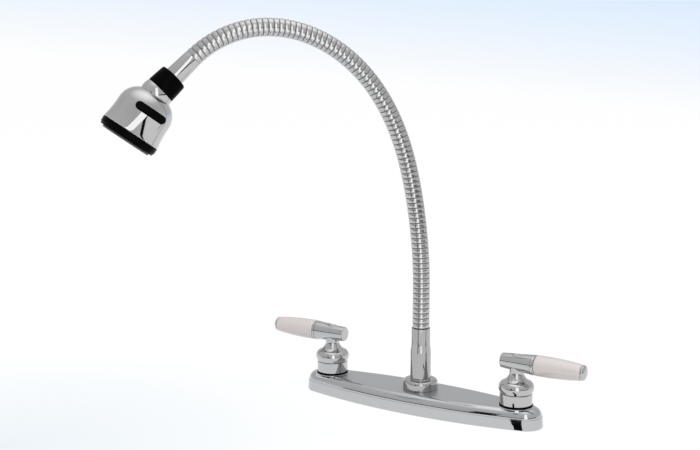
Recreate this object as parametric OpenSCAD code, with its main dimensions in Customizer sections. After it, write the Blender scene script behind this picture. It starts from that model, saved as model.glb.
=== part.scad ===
// Two-handle kitchen sink mixer with a flexible ringed spout and a swivelling spray head.
// Millimetres. +Z is up, +X runs along the deck plate, -Y faces the person at the sink.
// The origin is the middle of the underside of the deck gasket, where it meets the sink.

/* [Deck plate] */
// How far the deck plate reaches past each valve's axis
deck_over = 26.4; // [20.4:0.2:43.4]
// Width of the deck plate at its middle
deck_w = 60; // [56:1:72]
// Radius of the plate's two ends, seen from above
deck_end_r = 17; // [16:0.5:22]
// Height of the plate's flat top above the sink
deck_h = 19; // [18:0.5:26]
// Wall of the plate
deck_wall = 1.6; // [1.2:0.1:2.4]
// Radius of the rounded shoulder round the top
deck_round = 8.5; // [6:0.5:9]
// How far the foot of the plate stands out beyond its shoulder
deck_flare = 1.2; // [0.4:0.1:2]
// Gap between the plate's foot and the sink
deck_foot_gap = 0.4; // [0.2:0.1:1]
// Thickness of the gasket under the plate
gasket_t = 2.2; // [1.5:0.1:4]
// Rise of the two valve seats above the flat top
seat_rise = 0.3; // [0.1:0.1:2]
// Radius of the two valve seats at the top
seat_r = 16.2; // [15.8:0.1:17]

/* [Valves] */
// Distance between the two valve axes
valve_span = 203.2; // [190:0.1:216]
// Radius of the threaded shanks
shank_r = 10.4; // [9:0.1:11]
// Length of the shanks below the sink's face
shank_l = 46; // [35:1:60]
// Waterway radius of the shanks
shank_bore_r = 6.5; // [5:0.1:7.5]
// Radius of the brass valve bodies
valve_r = 13.6; // [13.2:0.1:15]
// Radius of the valve necks that pass through the plate
neck_r = 12.4; // [11.8:0.1:13]
// Height of the valve necks above the plate's flat top
neck_rise = 4; // [3:0.5:5]
// Radius of the pocket that takes the cartridge
pocket_r = 9.6; // [9:0.1:10]
// Height of the pocket's floor
pocket_z = 5; // [4:0.5:7]
// Radius of the ceramic discs
disc_r = 7.8; // [7:0.1:8.2]
// Thickness of each ceramic disc
disc_t = 2.4; // [2:0.1:3]
// Thickness of the rubber seat under the discs
seat_seal_t = 1.8; // [1:0.1:2.5]
// Radius of the valve stems
stem_r = 4.2; // [3.6:0.1:4.6]
// Thickness of the black ring between seat and skirt
seal_ring_t = 1.5; // [1:0.1:2.5]
// Outside radius of the black ring
seal_ring_r = 15.7; // [15.4:0.1:16.2]
// Outside radius of the chromed valve skirt
skirt_r = 15.3; // [15:0.1:15.6]
// Height of the chromed valve skirt
skirt_h = 10.5; // [9:0.5:11.5]
// Wall of the skirt
skirt_wall = 1.5; // [1.2:0.1:1.8]
// Distance across the flats of the shank nuts
shank_nut_af = 34; // [30:1:40]
// Depth of the shank nuts
shank_nut_h = 9; // [7:0.5:12]
// Radius of the flange on the shank nuts
shank_flange_r = 21; // [19:0.5:25]
// Thickness of sink that the shank nuts leave room for
sink_t = 6; // [1:0.5:12]
// Thickness of the flange on the shank nuts
shank_flange_t = 2.5; // [2:0.1:4]

/* [Handles] */
// Height of the lever's axis above the sink
lever_z = 60.2; // [58:0.1:64]
// Radius of the bell where it is widest
bell_r = 16.8; // [16.4:0.1:17.2]
// Radius of the bell's rounded rim
bell_round = 6.5; // [6:0.1:7]
// Radius of the hollow curve between neck and rim
bell_hollow = 10; // [9:0.5:11]
// Radius of the neck under the barrel
hub_neck_r = 6.8; // [6.6:0.1:7.5]
// Reach of the barrel's blunt end behind the valve axis
barrel_back = 15; // [13:0.5:17]
// Reach of the barrel's wide end in front of the valve axis
barrel_front = 19.5; // [18:0.5:24]
// Radius of the barrel's blunt end
barrel_r1 = 7.1; // [6.8:0.1:7.5]
// Radius of the barrel's wide end
barrel_r2 = 9.6; // [9:0.1:10.4]
// Reach of the lever's tip from the valve axis
lever_l = 68.5; // [64:0.5:84]
// Radius of the porcelain grip where it is fullest
grip_r = 9.9; // [9.7:0.1:10.8]
// Radius of the porcelain grip at its tip
grip_tip_r = 7.5; // [6.5:0.1:8.2]
// Length of the chromed cap at the lever's tip
tip_l = 4.2; // [3.5:0.1:6]
// Radius of the rod through the grip
rod_r = 3; // [2.5:0.1:3.4]
// Radius of the index cap on the barrel
index_r = 4.3; // [4.1:0.1:4.8]
// Thickness of the index cap
index_t = 2.4; // [1.8:0.1:3]

/* [Spout foot] */
// Radius of the round hub at the spout's foot
hub_r = 17; // [15:0.5:19]
// Height of the round hub above the plate's flat top
hub_h = 9.3; // [9:0.1:12]
// Rounding of the hub's upper edge
hub_round = 3.2; // [2:0.2:4]
// Radius of the brass post that the spout turns on
post_r = 7; // [6.4:0.1:7.4]
// Waterway radius of the post
post_bore_r = 4.5; // [4.45:0.05:4.8]
// Length of the post above the hub
post_rise = 34; // [32:0.5:36]
// Thickness of the washer that the spout turns on
thrust_t = 0.5; // [0.4:0.1:1]
// Radius of the spout collar's lower part
collar_r1 = 10; // [9.6:0.1:11]
// Radius of the spout collar's upper part
collar_r2 = 9.1; // [8.9:0.1:9.5]
// Height of the collar's wide part
collar_wide_h = 27; // [22:0.5:30]
// Height of the collar's taper
collar_taper_h = 7; // [5:0.5:9]
// Whole height of the spout collar
collar_h = 50.5; // [49:0.5:60]

/* [Gooseneck] */
// Direction that the spout points in, counted anticlockwise from +X
spout_dir = 230; // [180:5:360]
// Bend of each link of the gooseneck at rest, from the foot up
link_bend = [0, 5, 4, 5, 9, 12, 15, 17, 20, 23, 23];
// Distance from one ring to the next
ring_pitch = 4.95; // [4.4:0.05:5.4]
// Rings in each link
link_rings = 8; // [6:1:9]
// Outside radius of the rings
hose_r = 8.4; // [8:0.1:8.6]
// Width of the groove between two rings
groove_w = 1; // [0.7:0.1:1.4]
// Depth of the groove between two rings
groove_d = 1.1; // [0.8:0.1:1.3]
// Radius of the way through the gooseneck
hose_bore_r = 5; // [4.8:0.1:5.2]
// Radius of the ball that ends each link
link_ball_r = 7; // [6.8:0.1:7.1]
// Largest turn of one link against the next
link_turn = 14; // [8:1:20]
// Outside radius of the rubber hose inside
inner_r = 4.4; // [4:0.1:4.4]
// Wall of the rubber hose inside
inner_wall = 1.4; // [1:0.1:1.8]

/* [Spray head] */
// Length of the ferrule at the gooseneck's end
ferrule_l = 23; // [20:0.5:28]
// Radius of the ferrule where it meets the gooseneck
ferrule_r1 = 8.2; // [8.1:0.05:8.6]
// Radius of the ferrule where it meets the black nut
ferrule_r2 = 9.1; // [8.9:0.1:9.6]
// Length of the black collar nut
nut_l = 17.5; // [16.5:0.5:20]
// Radius of the black collar nut
nut_r = 13.8; // [13.6:0.1:14]
// Radius of the chromed dome under the nut
dome_r = 14.5; // [14.4:0.1:14.8]
// Height of the ball's centre below the nut
pivot_drop = 4.7; // [4.5:0.1:5]
// Radius of the ball that the head tilts on
ball_r = 7.8; // [7.4:0.1:8]
// Radius of the ball's neck
ball_neck_r = 4.4; // [4:0.1:4.5]
// Tilt of the head against the gooseneck's end at rest
head_tilt = 11.5; // [0:0.5:18]
// Radius of the head's body
head_r = 25.6; // [25:0.1:27]
// Radius of the head's body at its lower edge
head_foot_r = 27.4; // [27:0.1:28.4]
// Length of the chromed bell
head_l = 37.8; // [36:0.2:42]
// Wall of the chromed bell
head_wall = 1.8; // [1.5:0.1:2.2]
// Height of the black face ring
face_h = 7.5; // [6:0.5:9]
// How much smaller the spray plate's radius is than the bell's bore
plate_inset = 0.5; // [0.4:0.1:1.8]
// How far the spray plate stands out of the face ring
plate_lip = 1.7; // [1:0.1:2.5]
// Distance between the two ends' centres of a finger grip
grip_span = 22.8; // [16:0.2:25]
// Width of a finger grip
grip_w = 8.3; // [6:0.1:9.5]
// Distance of the finger grips below the bell's mouth
grip_drop = 14.6; // [13:0.2:17]
// Turn of the finger grips about the head's axis
grip_turn = -3.5; // [-90:0.5:90]

/* [Fits] */
// Radial clearance of a turning fit
run = 0.06; // [0.03:0.01:0.09]
// Clearance of a seated fit between two still pieces
seat = 0.05; // [0.03:0.01:0.1]
// Clearance between two faces that pass each other
pass = 0.3; // [0.2:0.05:0.4]

/* [Hidden] */
$fn = 96;
eps = 0.01;
HANDLES = ["hot", "cold"];

// Length of the deck plate
deck_l = valve_span + 2 * deck_over;

// Deck levels
plate_in_z = deck_h - deck_wall;
seat_z = deck_h + seat_rise;
skirt_z = seat_z + seal_ring_t;
skirt_top = skirt_z + skirt_h;
neck_top = deck_h + neck_rise;
cross_z = 9.8;
shank_nut_z = -sink_t - shank_flange_t - shank_nut_h;
tube_r = 5;
tube_wall = 1;
tube_seat = 4;
side_boss_r = 6.6;
side_boss_reach = 3;

// Cartridge levels, from the pocket's floor up
fixed_disc_z = pocket_z + seat_seal_t;
moving_disc_z = fixed_disc_z + disc_t;
stem_foot_z = moving_disc_z + disc_t;
stem_foot_h = 2;
cartridge_roof_z = stem_foot_z + stem_foot_h + pass;
cartridge_nut_h = 4.4;
stem_top = lever_z - 13.5;
screw_r = 2;
screw_head_r = 3.7;
screw_head_h = 2.4;
screw_seat_z = lever_z - 7.5;

// Spout levels
hub_top = deck_h + hub_h;
collar_z = hub_top + thrust_t;
hose_z = collar_z + collar_h;
boss_r = 13;
boss_neck_r = 10.4;
boss_top = hub_top - 2.3;
post_foot_z = 12.5;
post_top = hub_top + post_rise;
flange_r = 8.4;
flange_h = 2.5;
flange_z = hub_top + 5.2;
collar_step_z = flange_z + flange_h + pass;
o_ring_r = 0.68;
o_ring_groove_r = 5.6;
o_ring_z = [post_top - 18, post_top - 8];
hose_seat = 8;
hose_overlap = 8;

// Gooseneck
link_l = ring_pitch * link_rings;
links = len(link_bend);
core_r = hose_r - groove_d;
// Half the gap between two links, so that their rings stay apart at the largest turn
joint_gap = hose_r * tan(link_turn / 2) + pass;
ball_nose = 4.2;
end_spigot_r = core_r - 0.3;
ball_bore_r = hose_bore_r + 0.3;
end_seat = 6;

// Spray head, counted from the gooseneck's end
nut_z = ferrule_l;
nut_end = nut_z + nut_l;
pivot_z = nut_end + pivot_drop;
spigot_r = 7.9;
spigot_end = nut_z + 7.7;
turn_flange_r = 7.4;
turn_flange_h = 2.5;
turn_flange_z = spigot_end + pass;
lip_z = turn_flange_z + turn_flange_h + 0.1;
lip_h = 3;
// Outside radius of the socket that holds the ball
socket_r = ball_r + 2;
socket_rise = 4.1;
mouth_z = 2;
dome_wall = 1.2;
dome_in_r = dome_r - dome_wall;
dome_skirt = 5;
dome_collar_r = dome_in_r - 1.1;
web_z = 17;
web_t = 2.2;
nipple_r = 6.9;
bell_in_r = head_r - head_wall;
plate_r = bell_in_r - plate_inset;
plate_bore_r = 8.3;
row_first = 11.5;
row_step = (plate_r - 4.8 - row_first) / 2;
grip_floor_y = bell_in_r - 6;
// Depth of the bead that snaps the face ring into the bell
snap_d = 0.5;
head_end = mouth_z + head_l;
face_z = head_end + seat;
face_end = face_z + face_h;

// Points along an arc in a plane, from angle a0 to a1
function arc_points(cx, cy, r, a0, a1, n) =
  [for (i = [0 : n]) let (a = a0 + (a1 - a0) * i / n) [cx + r * cos(a), cy + r * sin(a)]];

// Plan of the oval plate, drawn in by d all round: two long arcs that run into two end arcs
function oval_points(d) =
  let (half_l = deck_l / 2 - d, half_w = deck_w / 2 - d, r = deck_end_r - d,
       c = half_l - r,
       big = (c * c + half_w * half_w - r * r) / (2 * (half_w - r)),
       a = atan2(big - half_w, c))
  concat(arc_points(c, 0, r, -a, a, 14),
         [for (p = arc_points(0, half_w - big, big, a, 180 - a, 20)) if (abs(p[0]) < c * 0.999) p],
         arc_points(-c, 0, r, 180 - a, 180 + a, 14),
         [for (p = arc_points(0, big - half_w, big, 180 + a, 360 - a, 20)) if (abs(p[0]) < c * 0.999) p]);

// Angle from upright at the start of link k
function angle_at(k) = k == 0 ? 0 : angle_at(k - 1) + link_bend[k - 1];
// Radius of link k's curve
function bend_r(k) = link_l / (link_bend[k] * PI / 180);
// Where link k ends in its own plane: sideways and along
function link_step(k) =
  link_bend[k] == 0 ? [0, link_l]
  : [bend_r(k) * (1 - cos(link_bend[k])), bend_r(k) * sin(link_bend[k])];
// Where link k starts: reach from the spout's axis, and height
function link_at(k) =
  k == 0 ? [0, hose_z]
  : let (p = link_at(k - 1), s = link_step(k - 1), a = angle_at(k - 1))
    [p[0] + s[1] * sin(a) + s[0] * cos(a), p[1] + s[1] * cos(a) - s[0] * sin(a)];

// A point on link k's curve, at a fraction of its length, with the angle from upright there
function route_point(k, part) =
  let (p = link_at(k), a = angle_at(k), b = link_bend[k] * part,
       s = link_bend[k] == 0 ? [0, link_l * part]
         : [bend_r(k) * (1 - cos(b)), bend_r(k) * sin(b)])
  [p[0] + s[1] * sin(a) + s[0] * cos(a), p[1] + s[1] * cos(a) - s[0] * sin(a), a + b];

module on_link(k) {
  rotate([0, 0, spout_dir])
    translate([link_at(k)[0], 0, link_at(k)[1]])
      rotate([0, angle_at(k), 0])
        children();
}

// The ball joint's centre, with +Z along the head towards the spray
module on_head() {
  on_link(links) translate([0, 0, pivot_z]) rotate([0, head_tilt, 0]) children();
}

module at_valves() {
  for (side = [-1, 1]) translate([side * valve_span / 2, 0, 0]) children();
}

// A handle's own frame: valve axis upright, lever along +X
module at_handle(name) {
  side = name == "hot" ? -1 : 1;
  translate([side * valve_span / 2, 0, 0]) rotate([0, 0, side < 0 ? 180 : 0]) children();
}

module ring(r_out, r_in, z0, z1) {
  translate([0, 0, z0])
    linear_extrude(z1 - z0)
      difference() {
        circle(r_out);
        circle(r_in);
      }
}

module disc(r, z0, z1) {
  translate([0, 0, z0]) cylinder(r = r, h = z1 - z0);
}

// A tube along part of link k's curve, from s0 to s1 millimetres
module tube_along(k, r_out, r_in, s0, s1) {
  if (link_bend[k] == 0) {
    ring(r_out, r_in, s0, s1);
  } else {
    radius = bend_r(k);
    per_mm = link_bend[k] / link_l;
    translate([radius, 0, 0])
      rotate([90, 0, 180])
        rotate([0, 0, s0 * per_mm])
          rotate_extrude(angle = (s1 - s0) * per_mm)
            translate([radius, 0])
              difference() {
                circle(r_out);
                circle(r_in);
              }
  }
}

module deck_slab(drop, top, inset, round_r, foot_z) {
  hull() {
    translate([0, 0, foot_z])
      linear_extrude(eps)
        polygon(oval_points(inset));
    for (i = [0 : 5]) {
      a = i * 18;
      translate([0, 0, top - round_r * (1 - sin(a)) - eps])
        linear_extrude(eps)
          polygon(oval_points(inset + drop + round_r * (1 - cos(a))));
    }
  }
}

module deck_plate() {
  color("gainsboro")
    difference() {
      union() {
        deck_slab(deck_flare, deck_h, 0, deck_round, deck_foot_gap);
        at_valves()
          translate([0, 0, deck_h - deck_round])
            cylinder(r1 = seat_r + 0.8, r2 = seat_r, h = deck_round + seat_rise);
      }
      deck_slab(deck_flare, plate_in_z, deck_wall, deck_round - deck_wall, deck_foot_gap - 1);
      at_valves() disc(valve_r + pass, 0, plate_in_z);
      at_valves() disc(neck_r + pass, 0, seat_z + 1);
      disc(boss_neck_r + pass, 0, deck_h + 1);
    }
}

module deck_gasket() {
  color("dimgray")
    difference() {
      linear_extrude(gasket_t)
        polygon(oval_points(deck_wall + 2 * deck_flare));
      at_valves() disc(shank_r + pass, -1, gasket_t + 1);
    }
}

// Brass valve body with its shank; side is the direction of its port, towards the middle
module valve_body(side) {
  difference() {
    union() {
      disc(valve_r, gasket_t, plate_in_z);
      disc(neck_r, gasket_t, neck_top);
      disc(shank_r, -shank_l, gasket_t + 1);
      translate([0, 0, cross_z])
        rotate([0, side * 90, 0])
          cylinder(r = side_boss_r, h = valve_r + side_boss_reach);
    }
    disc(pocket_r, pocket_z, neck_top + 1);
    disc(shank_bore_r, -shank_l - 1, pocket_z + 1);
    ring(shank_r + 1, shank_r - 0.8, shank_nut_z - 2.5, shank_nut_z - 1);
    translate([0, 0, cross_z])
      rotate([0, side * 90, 0]) {
        cylinder(r = tube_r - tube_wall, h = valve_r + side_boss_reach + 1);
        translate([0, 0, valve_r + side_boss_reach - tube_seat])
          cylinder(r = tube_r + seat, h = tube_seat + 1);
      }
  }
}

module hot_valve_body() {
  color("goldenrod") translate([-valve_span / 2, 0, 0]) valve_body(1);
}

module cold_valve_body() {
  color("goldenrod") translate([valve_span / 2, 0, 0]) valve_body(-1);
}

module spout_body() {
  color("goldenrod")
    difference() {
      union() {
        disc(boss_r, gasket_t, plate_in_z);
        disc(boss_neck_r, gasket_t, boss_top);
        translate([0, 0, cross_z])
          rotate([0, 90, 0])
            cylinder(r = side_boss_r, h = 2 * (boss_r + side_boss_reach), center = true);
      }
      disc(post_bore_r, cross_z - 3, boss_top);
      disc(post_r + seat, post_foot_z, boss_top + 1);
      translate([0, 0, cross_z])
        rotate([0, 90, 0])
          cylinder(r = tube_r - tube_wall, h = 2 * (boss_r + side_boss_reach) + 2, center = true);
      for (side = [-1, 1])
        translate([side * (boss_r + side_boss_reach - tube_seat), 0, cross_z])
          rotate([0, side * 90, 0])
            cylinder(r = tube_r + seat, h = tube_seat + 1);
    }
}

module crossover_tubes() {
  from = boss_r + side_boss_reach - tube_seat + seat;
  to = valve_span / 2 - valve_r - side_boss_reach + tube_seat - seat;
  color("peru")
    for (side = [-1, 1])
      translate([side * from, 0, cross_z])
        rotate([0, side * 90, 0])
          ring(tube_r, tube_r - tube_wall, 0, to - from);
}

module shank_nuts() {
  color("gold")
    at_valves()
      difference() {
        union() {
          disc(shank_flange_r, -sink_t - shank_flange_t, -sink_t);
          translate([0, 0, shank_nut_z])
            cylinder(r = shank_nut_af / sqrt(3), h = shank_nut_h, $fn = 6);
        }
        disc(shank_r + seat, shank_nut_z - 1, 1);
      }
}

module seal_rings() {
  color("black") at_valves() ring(seal_ring_r, neck_r + seat, seat_z, skirt_z);
}

module valve_skirts() {
  floor_t = 1.8;
  rim = 0.4;
  color("gainsboro")
    at_valves()
      rotate_extrude()
        polygon([
          [neck_r + seat, skirt_z], [skirt_r - rim, skirt_z], [skirt_r, skirt_z + rim],
          [skirt_r, skirt_top - rim], [skirt_r - rim, skirt_top],
          [skirt_r - skirt_wall, skirt_top], [skirt_r - skirt_wall, skirt_z + floor_t],
          [neck_r + seat, skirt_z + floor_t]
        ]);
}

module cartridges() {
  color("khaki")
    at_valves()
      difference() {
        disc(pocket_r - seat, pocket_z, neck_top - 0.4);
        disc(disc_r + run, pocket_z - 1, cartridge_roof_z);
        disc(stem_r + run, pocket_z, neck_top);
        for (a = [0, 90])
          rotate([0, 0, a])
            translate([-pocket_r - 1, -3, stem_foot_z - disc_t + 0.4])
              cube([2 * pocket_r + 2, 6, disc_t + stem_foot_h - 0.8]);
      }
}

module cartridge_nuts() {
  color("gold")
    at_valves()
      difference() {
        union() {
          disc(pocket_r - seat, neck_top - 0.4, neck_top);
          translate([0, 0, neck_top])
            cylinder(r = 11.4, h = cartridge_nut_h, $fn = 6);
        }
        disc(stem_r + run, neck_top - 1, neck_top + cartridge_nut_h + 1);
      }
}

// A ceramic disc with its two opposite ports
module ceramic_disc(z) {
  difference() {
    disc(disc_r, z, z + disc_t);
    for (side = [-1, 1])
      translate([side * 4.4, 0, 0])
        disc(2, z - 1, z + disc_t + 1);
  }
}

module fixed_discs() {
  color("white") at_valves() ceramic_disc(fixed_disc_z);
}

module seat_seals() {
  color("black") at_valves() ring(disc_r, 6.6, pocket_z, fixed_disc_z);
}

module moving_disc(name) {
  color("white") at_handle(name) rotate([0, 0, 90]) ceramic_disc(moving_disc_z);
}

module stem(name) {
  color("gold")
    at_handle(name)
      difference() {
        union() {
          disc(disc_r, stem_foot_z, stem_foot_z + stem_foot_h);
          disc(stem_r, stem_foot_z, stem_top);
        }
        disc(screw_r + seat, stem_top - 13, stem_top + 1);
      }
}

// Outside of the bell and neck, from the foot of the bell up to the barrel's axis
function hub_outline() =
  let (round_c = [bell_r - bell_round, skirt_top + 5.3],
       hollow_x = hub_neck_r + bell_hollow,
       reach = bell_round + bell_hollow,
       rise = sqrt(reach * reach - pow(hollow_x - round_c[0], 2)),
       meet = atan2(rise, hollow_x - round_c[0]))
  concat(
    [[skirt_r - 0.3, skirt_top + pass], [skirt_r + 0.2, skirt_top + pass + 0.4],
     [skirt_r + 0.35, skirt_top + pass + 1.1]],
    arc_points(round_c[0], round_c[1], bell_round, -32, meet, 14),
    [for (i = [1 : 8]) let (a = meet + 180 - meet * i / 8)
      [hollow_x + bell_hollow * cos(a), round_c[1] + rise + bell_hollow * sin(a)]],
    [[hub_neck_r, lever_z]]);

module handle_hub(name) {
  cavity_r = skirt_r - skirt_wall;
  cavity_top = skirt_top + 4.5;
  band = 2.6;
  color("gainsboro")
    at_handle(name)
      difference() {
        union() {
          rotate_extrude()
            polygon(concat([[0, skirt_top + pass]], hub_outline(), [[0, lever_z]]));
          translate([-barrel_back, 0, lever_z])
            rotate([0, 90, 0])
              rotate_extrude()
                polygon([
                  [0, 0], [barrel_r1 - 1, 0], [barrel_r1 - 0.3, 0.3], [barrel_r1, 1],
                  [barrel_r2 - 0.15, barrel_back + barrel_front - band - 0.5],
                  [barrel_r2 - 0.5, barrel_back + barrel_front - band - 0.25],
                  [barrel_r2, barrel_back + barrel_front - band],
                  [barrel_r2, barrel_back + barrel_front - 0.5],
                  [barrel_r2 - 0.5, barrel_back + barrel_front],
                  [0, barrel_back + barrel_front]
                ]);
        }
        disc(cavity_r, 0, cavity_top);
        disc(stem_r + seat, 0, stem_top + pass);
        disc(screw_r + 0.3, stem_top, lever_z);
        disc(screw_head_r + 0.3, screw_seat_z, lever_z + barrel_r2);
        disc(index_r + seat, index_z(), lever_z + barrel_r2 + 1);
        translate([barrel_front - 12, 0, lever_z])
          rotate([0, 90, 0])
            cylinder(r = rod_r + seat, h = 13);
      }
}

// Height of the index cap's underside: its top lies below the barrel's highest line
function index_z() = lever_z + barrel_r1
  + (barrel_r2 - barrel_r1) * barrel_back / (barrel_back + barrel_front) - 0.9 - index_t;

module handle_screw(name) {
  color("silver")
    at_handle(name)
      difference() {
        union() {
          disc(screw_r, stem_top - 12, screw_seat_z + 1);
          disc(screw_head_r, screw_seat_z, screw_seat_z + screw_head_h);
        }
        translate([0, 0, screw_seat_z + 0.9])
          cylinder(r = 2, h = screw_head_h, $fn = 6);
      }
}

module index_cap(name) {
  top = index_z() + index_t;
  color("gainsboro")
    at_handle(name)
      rotate_extrude()
        polygon([
          [0, index_z()], [index_r, index_z()], [index_r, top - 0.5], [index_r - 0.5, top],
          [index_r - 1.1, top], [index_r - 1.4, top - 0.3], [0, top - 0.3]
        ]);
}

module lever_rod(name) {
  from = barrel_front - 11.5;
  color("silver")
    at_handle(name)
      translate([from, 0, lever_z])
        rotate([0, 90, 0])
          cylinder(r = rod_r, h = lever_l - 1.8 - from);
}

// Porcelain grip: a long barrel curve with rounded ends
module lever_grip(name) {
  from = barrel_front + 0.2;
  to = lever_l - tip_l;
  full = from + 7;
  sag = grip_r - grip_tip_r;
  curve_r = (pow(to - full, 2) + sag * sag) / (2 * sag);
  color("lavenderblush")
    at_handle(name)
      translate([0, 0, lever_z])
        rotate([0, 90, 0])
          rotate_extrude()
            polygon(concat(
              [[rod_r + seat, from], [grip_r - 1.4, from], [grip_r - 0.5, from + 0.7]],
              [for (i = [0 : 9]) let (z = from + 2 + (to - from - 2.6) * i / 9)
                [grip_r - curve_r + sqrt(curve_r * curve_r - pow(z - full, 2)), z]],
              [[grip_tip_r - 0.7, to], [rod_r + seat, to]]));
}

module tip_cap(name) {
  from = lever_l - tip_l + 0.1;
  color("gainsboro")
    at_handle(name)
      translate([0, 0, lever_z])
        rotate([0, 90, 0])
          difference() {
            rotate_extrude()
              polygon(concat(
                [[0, from], [grip_tip_r - 0.3, from], [grip_tip_r - 0.3, from + 1.2]],
                [for (i = [1 : 7]) let (a = i * 90 / 7)
                  [(grip_tip_r - 0.3) * cos(a), from + 1.2 + (lever_l - from - 1.2) * sin(a)]]));
            disc(rod_r + seat, from - 1, lever_l - 1.6);
          }
}

module spout_hub() {
  color("gainsboro")
    rotate_extrude()
      polygon(concat(
        [[boss_neck_r + seat, deck_h], [hub_r, deck_h]],
        arc_points(hub_r - hub_round, hub_top - hub_round, hub_round, 0, 90, 7),
        [[post_r + pass, hub_top], [post_r + pass, boss_top + 0.2],
         [boss_neck_r + seat, boss_top + 0.2]]));
}

module thrust_washer() {
  color("white") ring(collar_r1 - 0.4, post_r + pass, hub_top, collar_z);
}

module spout_post() {
  color("goldenrod")
    difference() {
      union() {
        disc(post_r, post_foot_z, post_top);
        disc(flange_r, flange_z, flange_z + flange_h);
      }
      disc(post_bore_r, post_foot_z - 1, post_top + 1);
      for (z = o_ring_z) ring(post_r + 1, o_ring_groove_r, z - 1.1, z + 1.1);
    }
}

module spout_o_rings() {
  color("black")
    for (z = o_ring_z)
      translate([0, 0, z])
        rotate_extrude()
          translate([o_ring_groove_r + o_ring_r + 0.02, 0])
            circle(o_ring_r, $fn = 32);
}

module spout_collar() {
  edge = 0.5;
  color("gainsboro")
    difference() {
      translate([0, 0, collar_z])
        rotate_extrude()
          polygon([
            [0, 0], [collar_r1 - edge, 0], [collar_r1, edge], [collar_r1, collar_wide_h],
            [collar_r2, collar_wide_h + collar_taper_h], [collar_r2, collar_h - edge],
            [collar_r2 - edge, collar_h], [0, collar_h]
          ]);
      disc(flange_r + pass, collar_z - 1, collar_step_z);
      disc(post_r + run, collar_z, post_top + 1);
      disc(hose_bore_r + 0.2, collar_z, hose_z + 1);
      disc(core_r + seat, hose_z - hose_seat, hose_z + 1);
    }
}

module spout_retaining_ring() {
  color("gold")
    ring(flange_r + pass - seat, post_r + run, collar_z + 0.2, flange_z - pass);
}

// One link of the gooseneck: ringed tube, a ball at its far end and a socket at its near end
module hose_link(k) {
  first = k == 0;
  last = k == links - 1;
  start_gap = first ? 0 : joint_gap;
  end_gap = last ? 0 : joint_gap;
  color("silver")
    on_link(k)
      difference() {
        union() {
          tube_along(k, core_r, hose_bore_r, start_gap, link_l - end_gap);
          for (i = [0 : link_rings - 1]) {
            s0 = i * ring_pitch + (i == 0 && !first ? joint_gap : groove_w / 2);
            s1 = (i + 1) * ring_pitch - (i == link_rings - 1 && !last ? joint_gap : groove_w / 2);
            tube_along(k, hose_r, core_r - 0.6, s0, s1);
          }
          if (first) ring(core_r, hose_bore_r, -hose_seat + seat, eps);
          if (last)
            translate([link_step(k)[0], 0, link_step(k)[1]])
              rotate([0, link_bend[k], 0])
                ring(end_spigot_r, ball_bore_r, -1, end_seat - seat);
          if (!last)
            translate([link_step(k)[0], 0, link_step(k)[1]])
              rotate([0, link_bend[k], 0])
                intersection() {
                  difference() {
                    sphere(link_ball_r);
                    disc(ball_bore_r, -10, 10);
                  }
                  disc(hose_r, -joint_gap - 1, ball_nose);
                }
        }
        if (!first) sphere(link_ball_r + run + 0.04);
      }
}

// Rubber hose inside, from the post to the ferrule: a tube swept along the gooseneck's route
module inner_hose() {
  sides = 24;
  steps = 3;
  tail = link_at(links);
  tail_a = angle_at(links);
  tail_l = hose_overlap + end_seat;
  route = concat(
    [[0, post_top - hose_overlap, 0]],
    [for (k = [0 : links - 1], i = [0 : steps - 1]) route_point(k, i / steps)],
    [[tail[0], tail[1], tail_a]],
    [[tail[0] + tail_l * sin(tail_a), tail[1] + tail_l * cos(tail_a), tail_a]]);
  rings = len(route);
  points = [for (r = [inner_r, inner_r - inner_wall], p = route, j = [0 : sides - 1])
    let (a = j * 360 / sides)
    [p[0] + r * cos(a) * cos(p[2]), r * sin(a), p[1] - r * cos(a) * sin(p[2])]];
  sheet = rings * sides;
  faces = concat(
    [for (i = [0 : rings - 2], j = [0 : sides - 1])
      let (a = i * sides + j, b = i * sides + (j + 1) % sides)
      each [[a, a + sides, b], [b, a + sides, b + sides]]],
    [for (i = [0 : rings - 2], j = [0 : sides - 1])
      let (a = sheet + i * sides + j, b = sheet + i * sides + (j + 1) % sides)
      each [[a, b, a + sides], [b, b + sides, a + sides]]],
    [for (j = [0 : sides - 1]) let (b = (j + 1) % sides)
      each [[j, b, sheet + j], [b, sheet + b, sheet + j]]],
    [for (j = [0 : sides - 1])
      let (a = (rings - 1) * sides + j, b = (rings - 1) * sides + (j + 1) % sides)
      each [[a, sheet + a, b], [b, sheet + a, sheet + b]]]);
  color("black")
    rotate([0, 0, spout_dir])
      polyhedron(points, faces);
}

module end_ferrule() {
  edge = 0.4;
  color("gainsboro")
    on_link(links)
      difference() {
        rotate_extrude()
          polygon([
            [0, 0], [ferrule_r1 - edge, 0], [ferrule_r1, edge],
            [ferrule_r2, ferrule_l], [spigot_r, ferrule_l],
            [spigot_r, spigot_end], [0, spigot_end]
          ]);
        disc(end_spigot_r + seat, -1, end_seat);
        disc(inner_r + seat, 0, spigot_end + 1);
      }
}

module collar_nut() {
  shoulder = 3;
  taper = 0.8;
  color("black")
    on_link(links)
      difference() {
        rotate_extrude()
          polygon(concat(
            [[0, nut_end], [nut_r - 0.3, nut_end], [nut_r, nut_end - 0.3]],
            arc_points(nut_r - taper - shoulder, nut_z + shoulder, shoulder, 0, -90, 7),
            [[0, nut_z]]));
        disc(spigot_r + seat, nut_z - 1, lip_z);
        disc(ball_neck_r + run, nut_z, nut_end + 1);
        disc(dome_collar_r + seat, lip_z + lip_h, nut_end + 1);
      }
}

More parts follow.
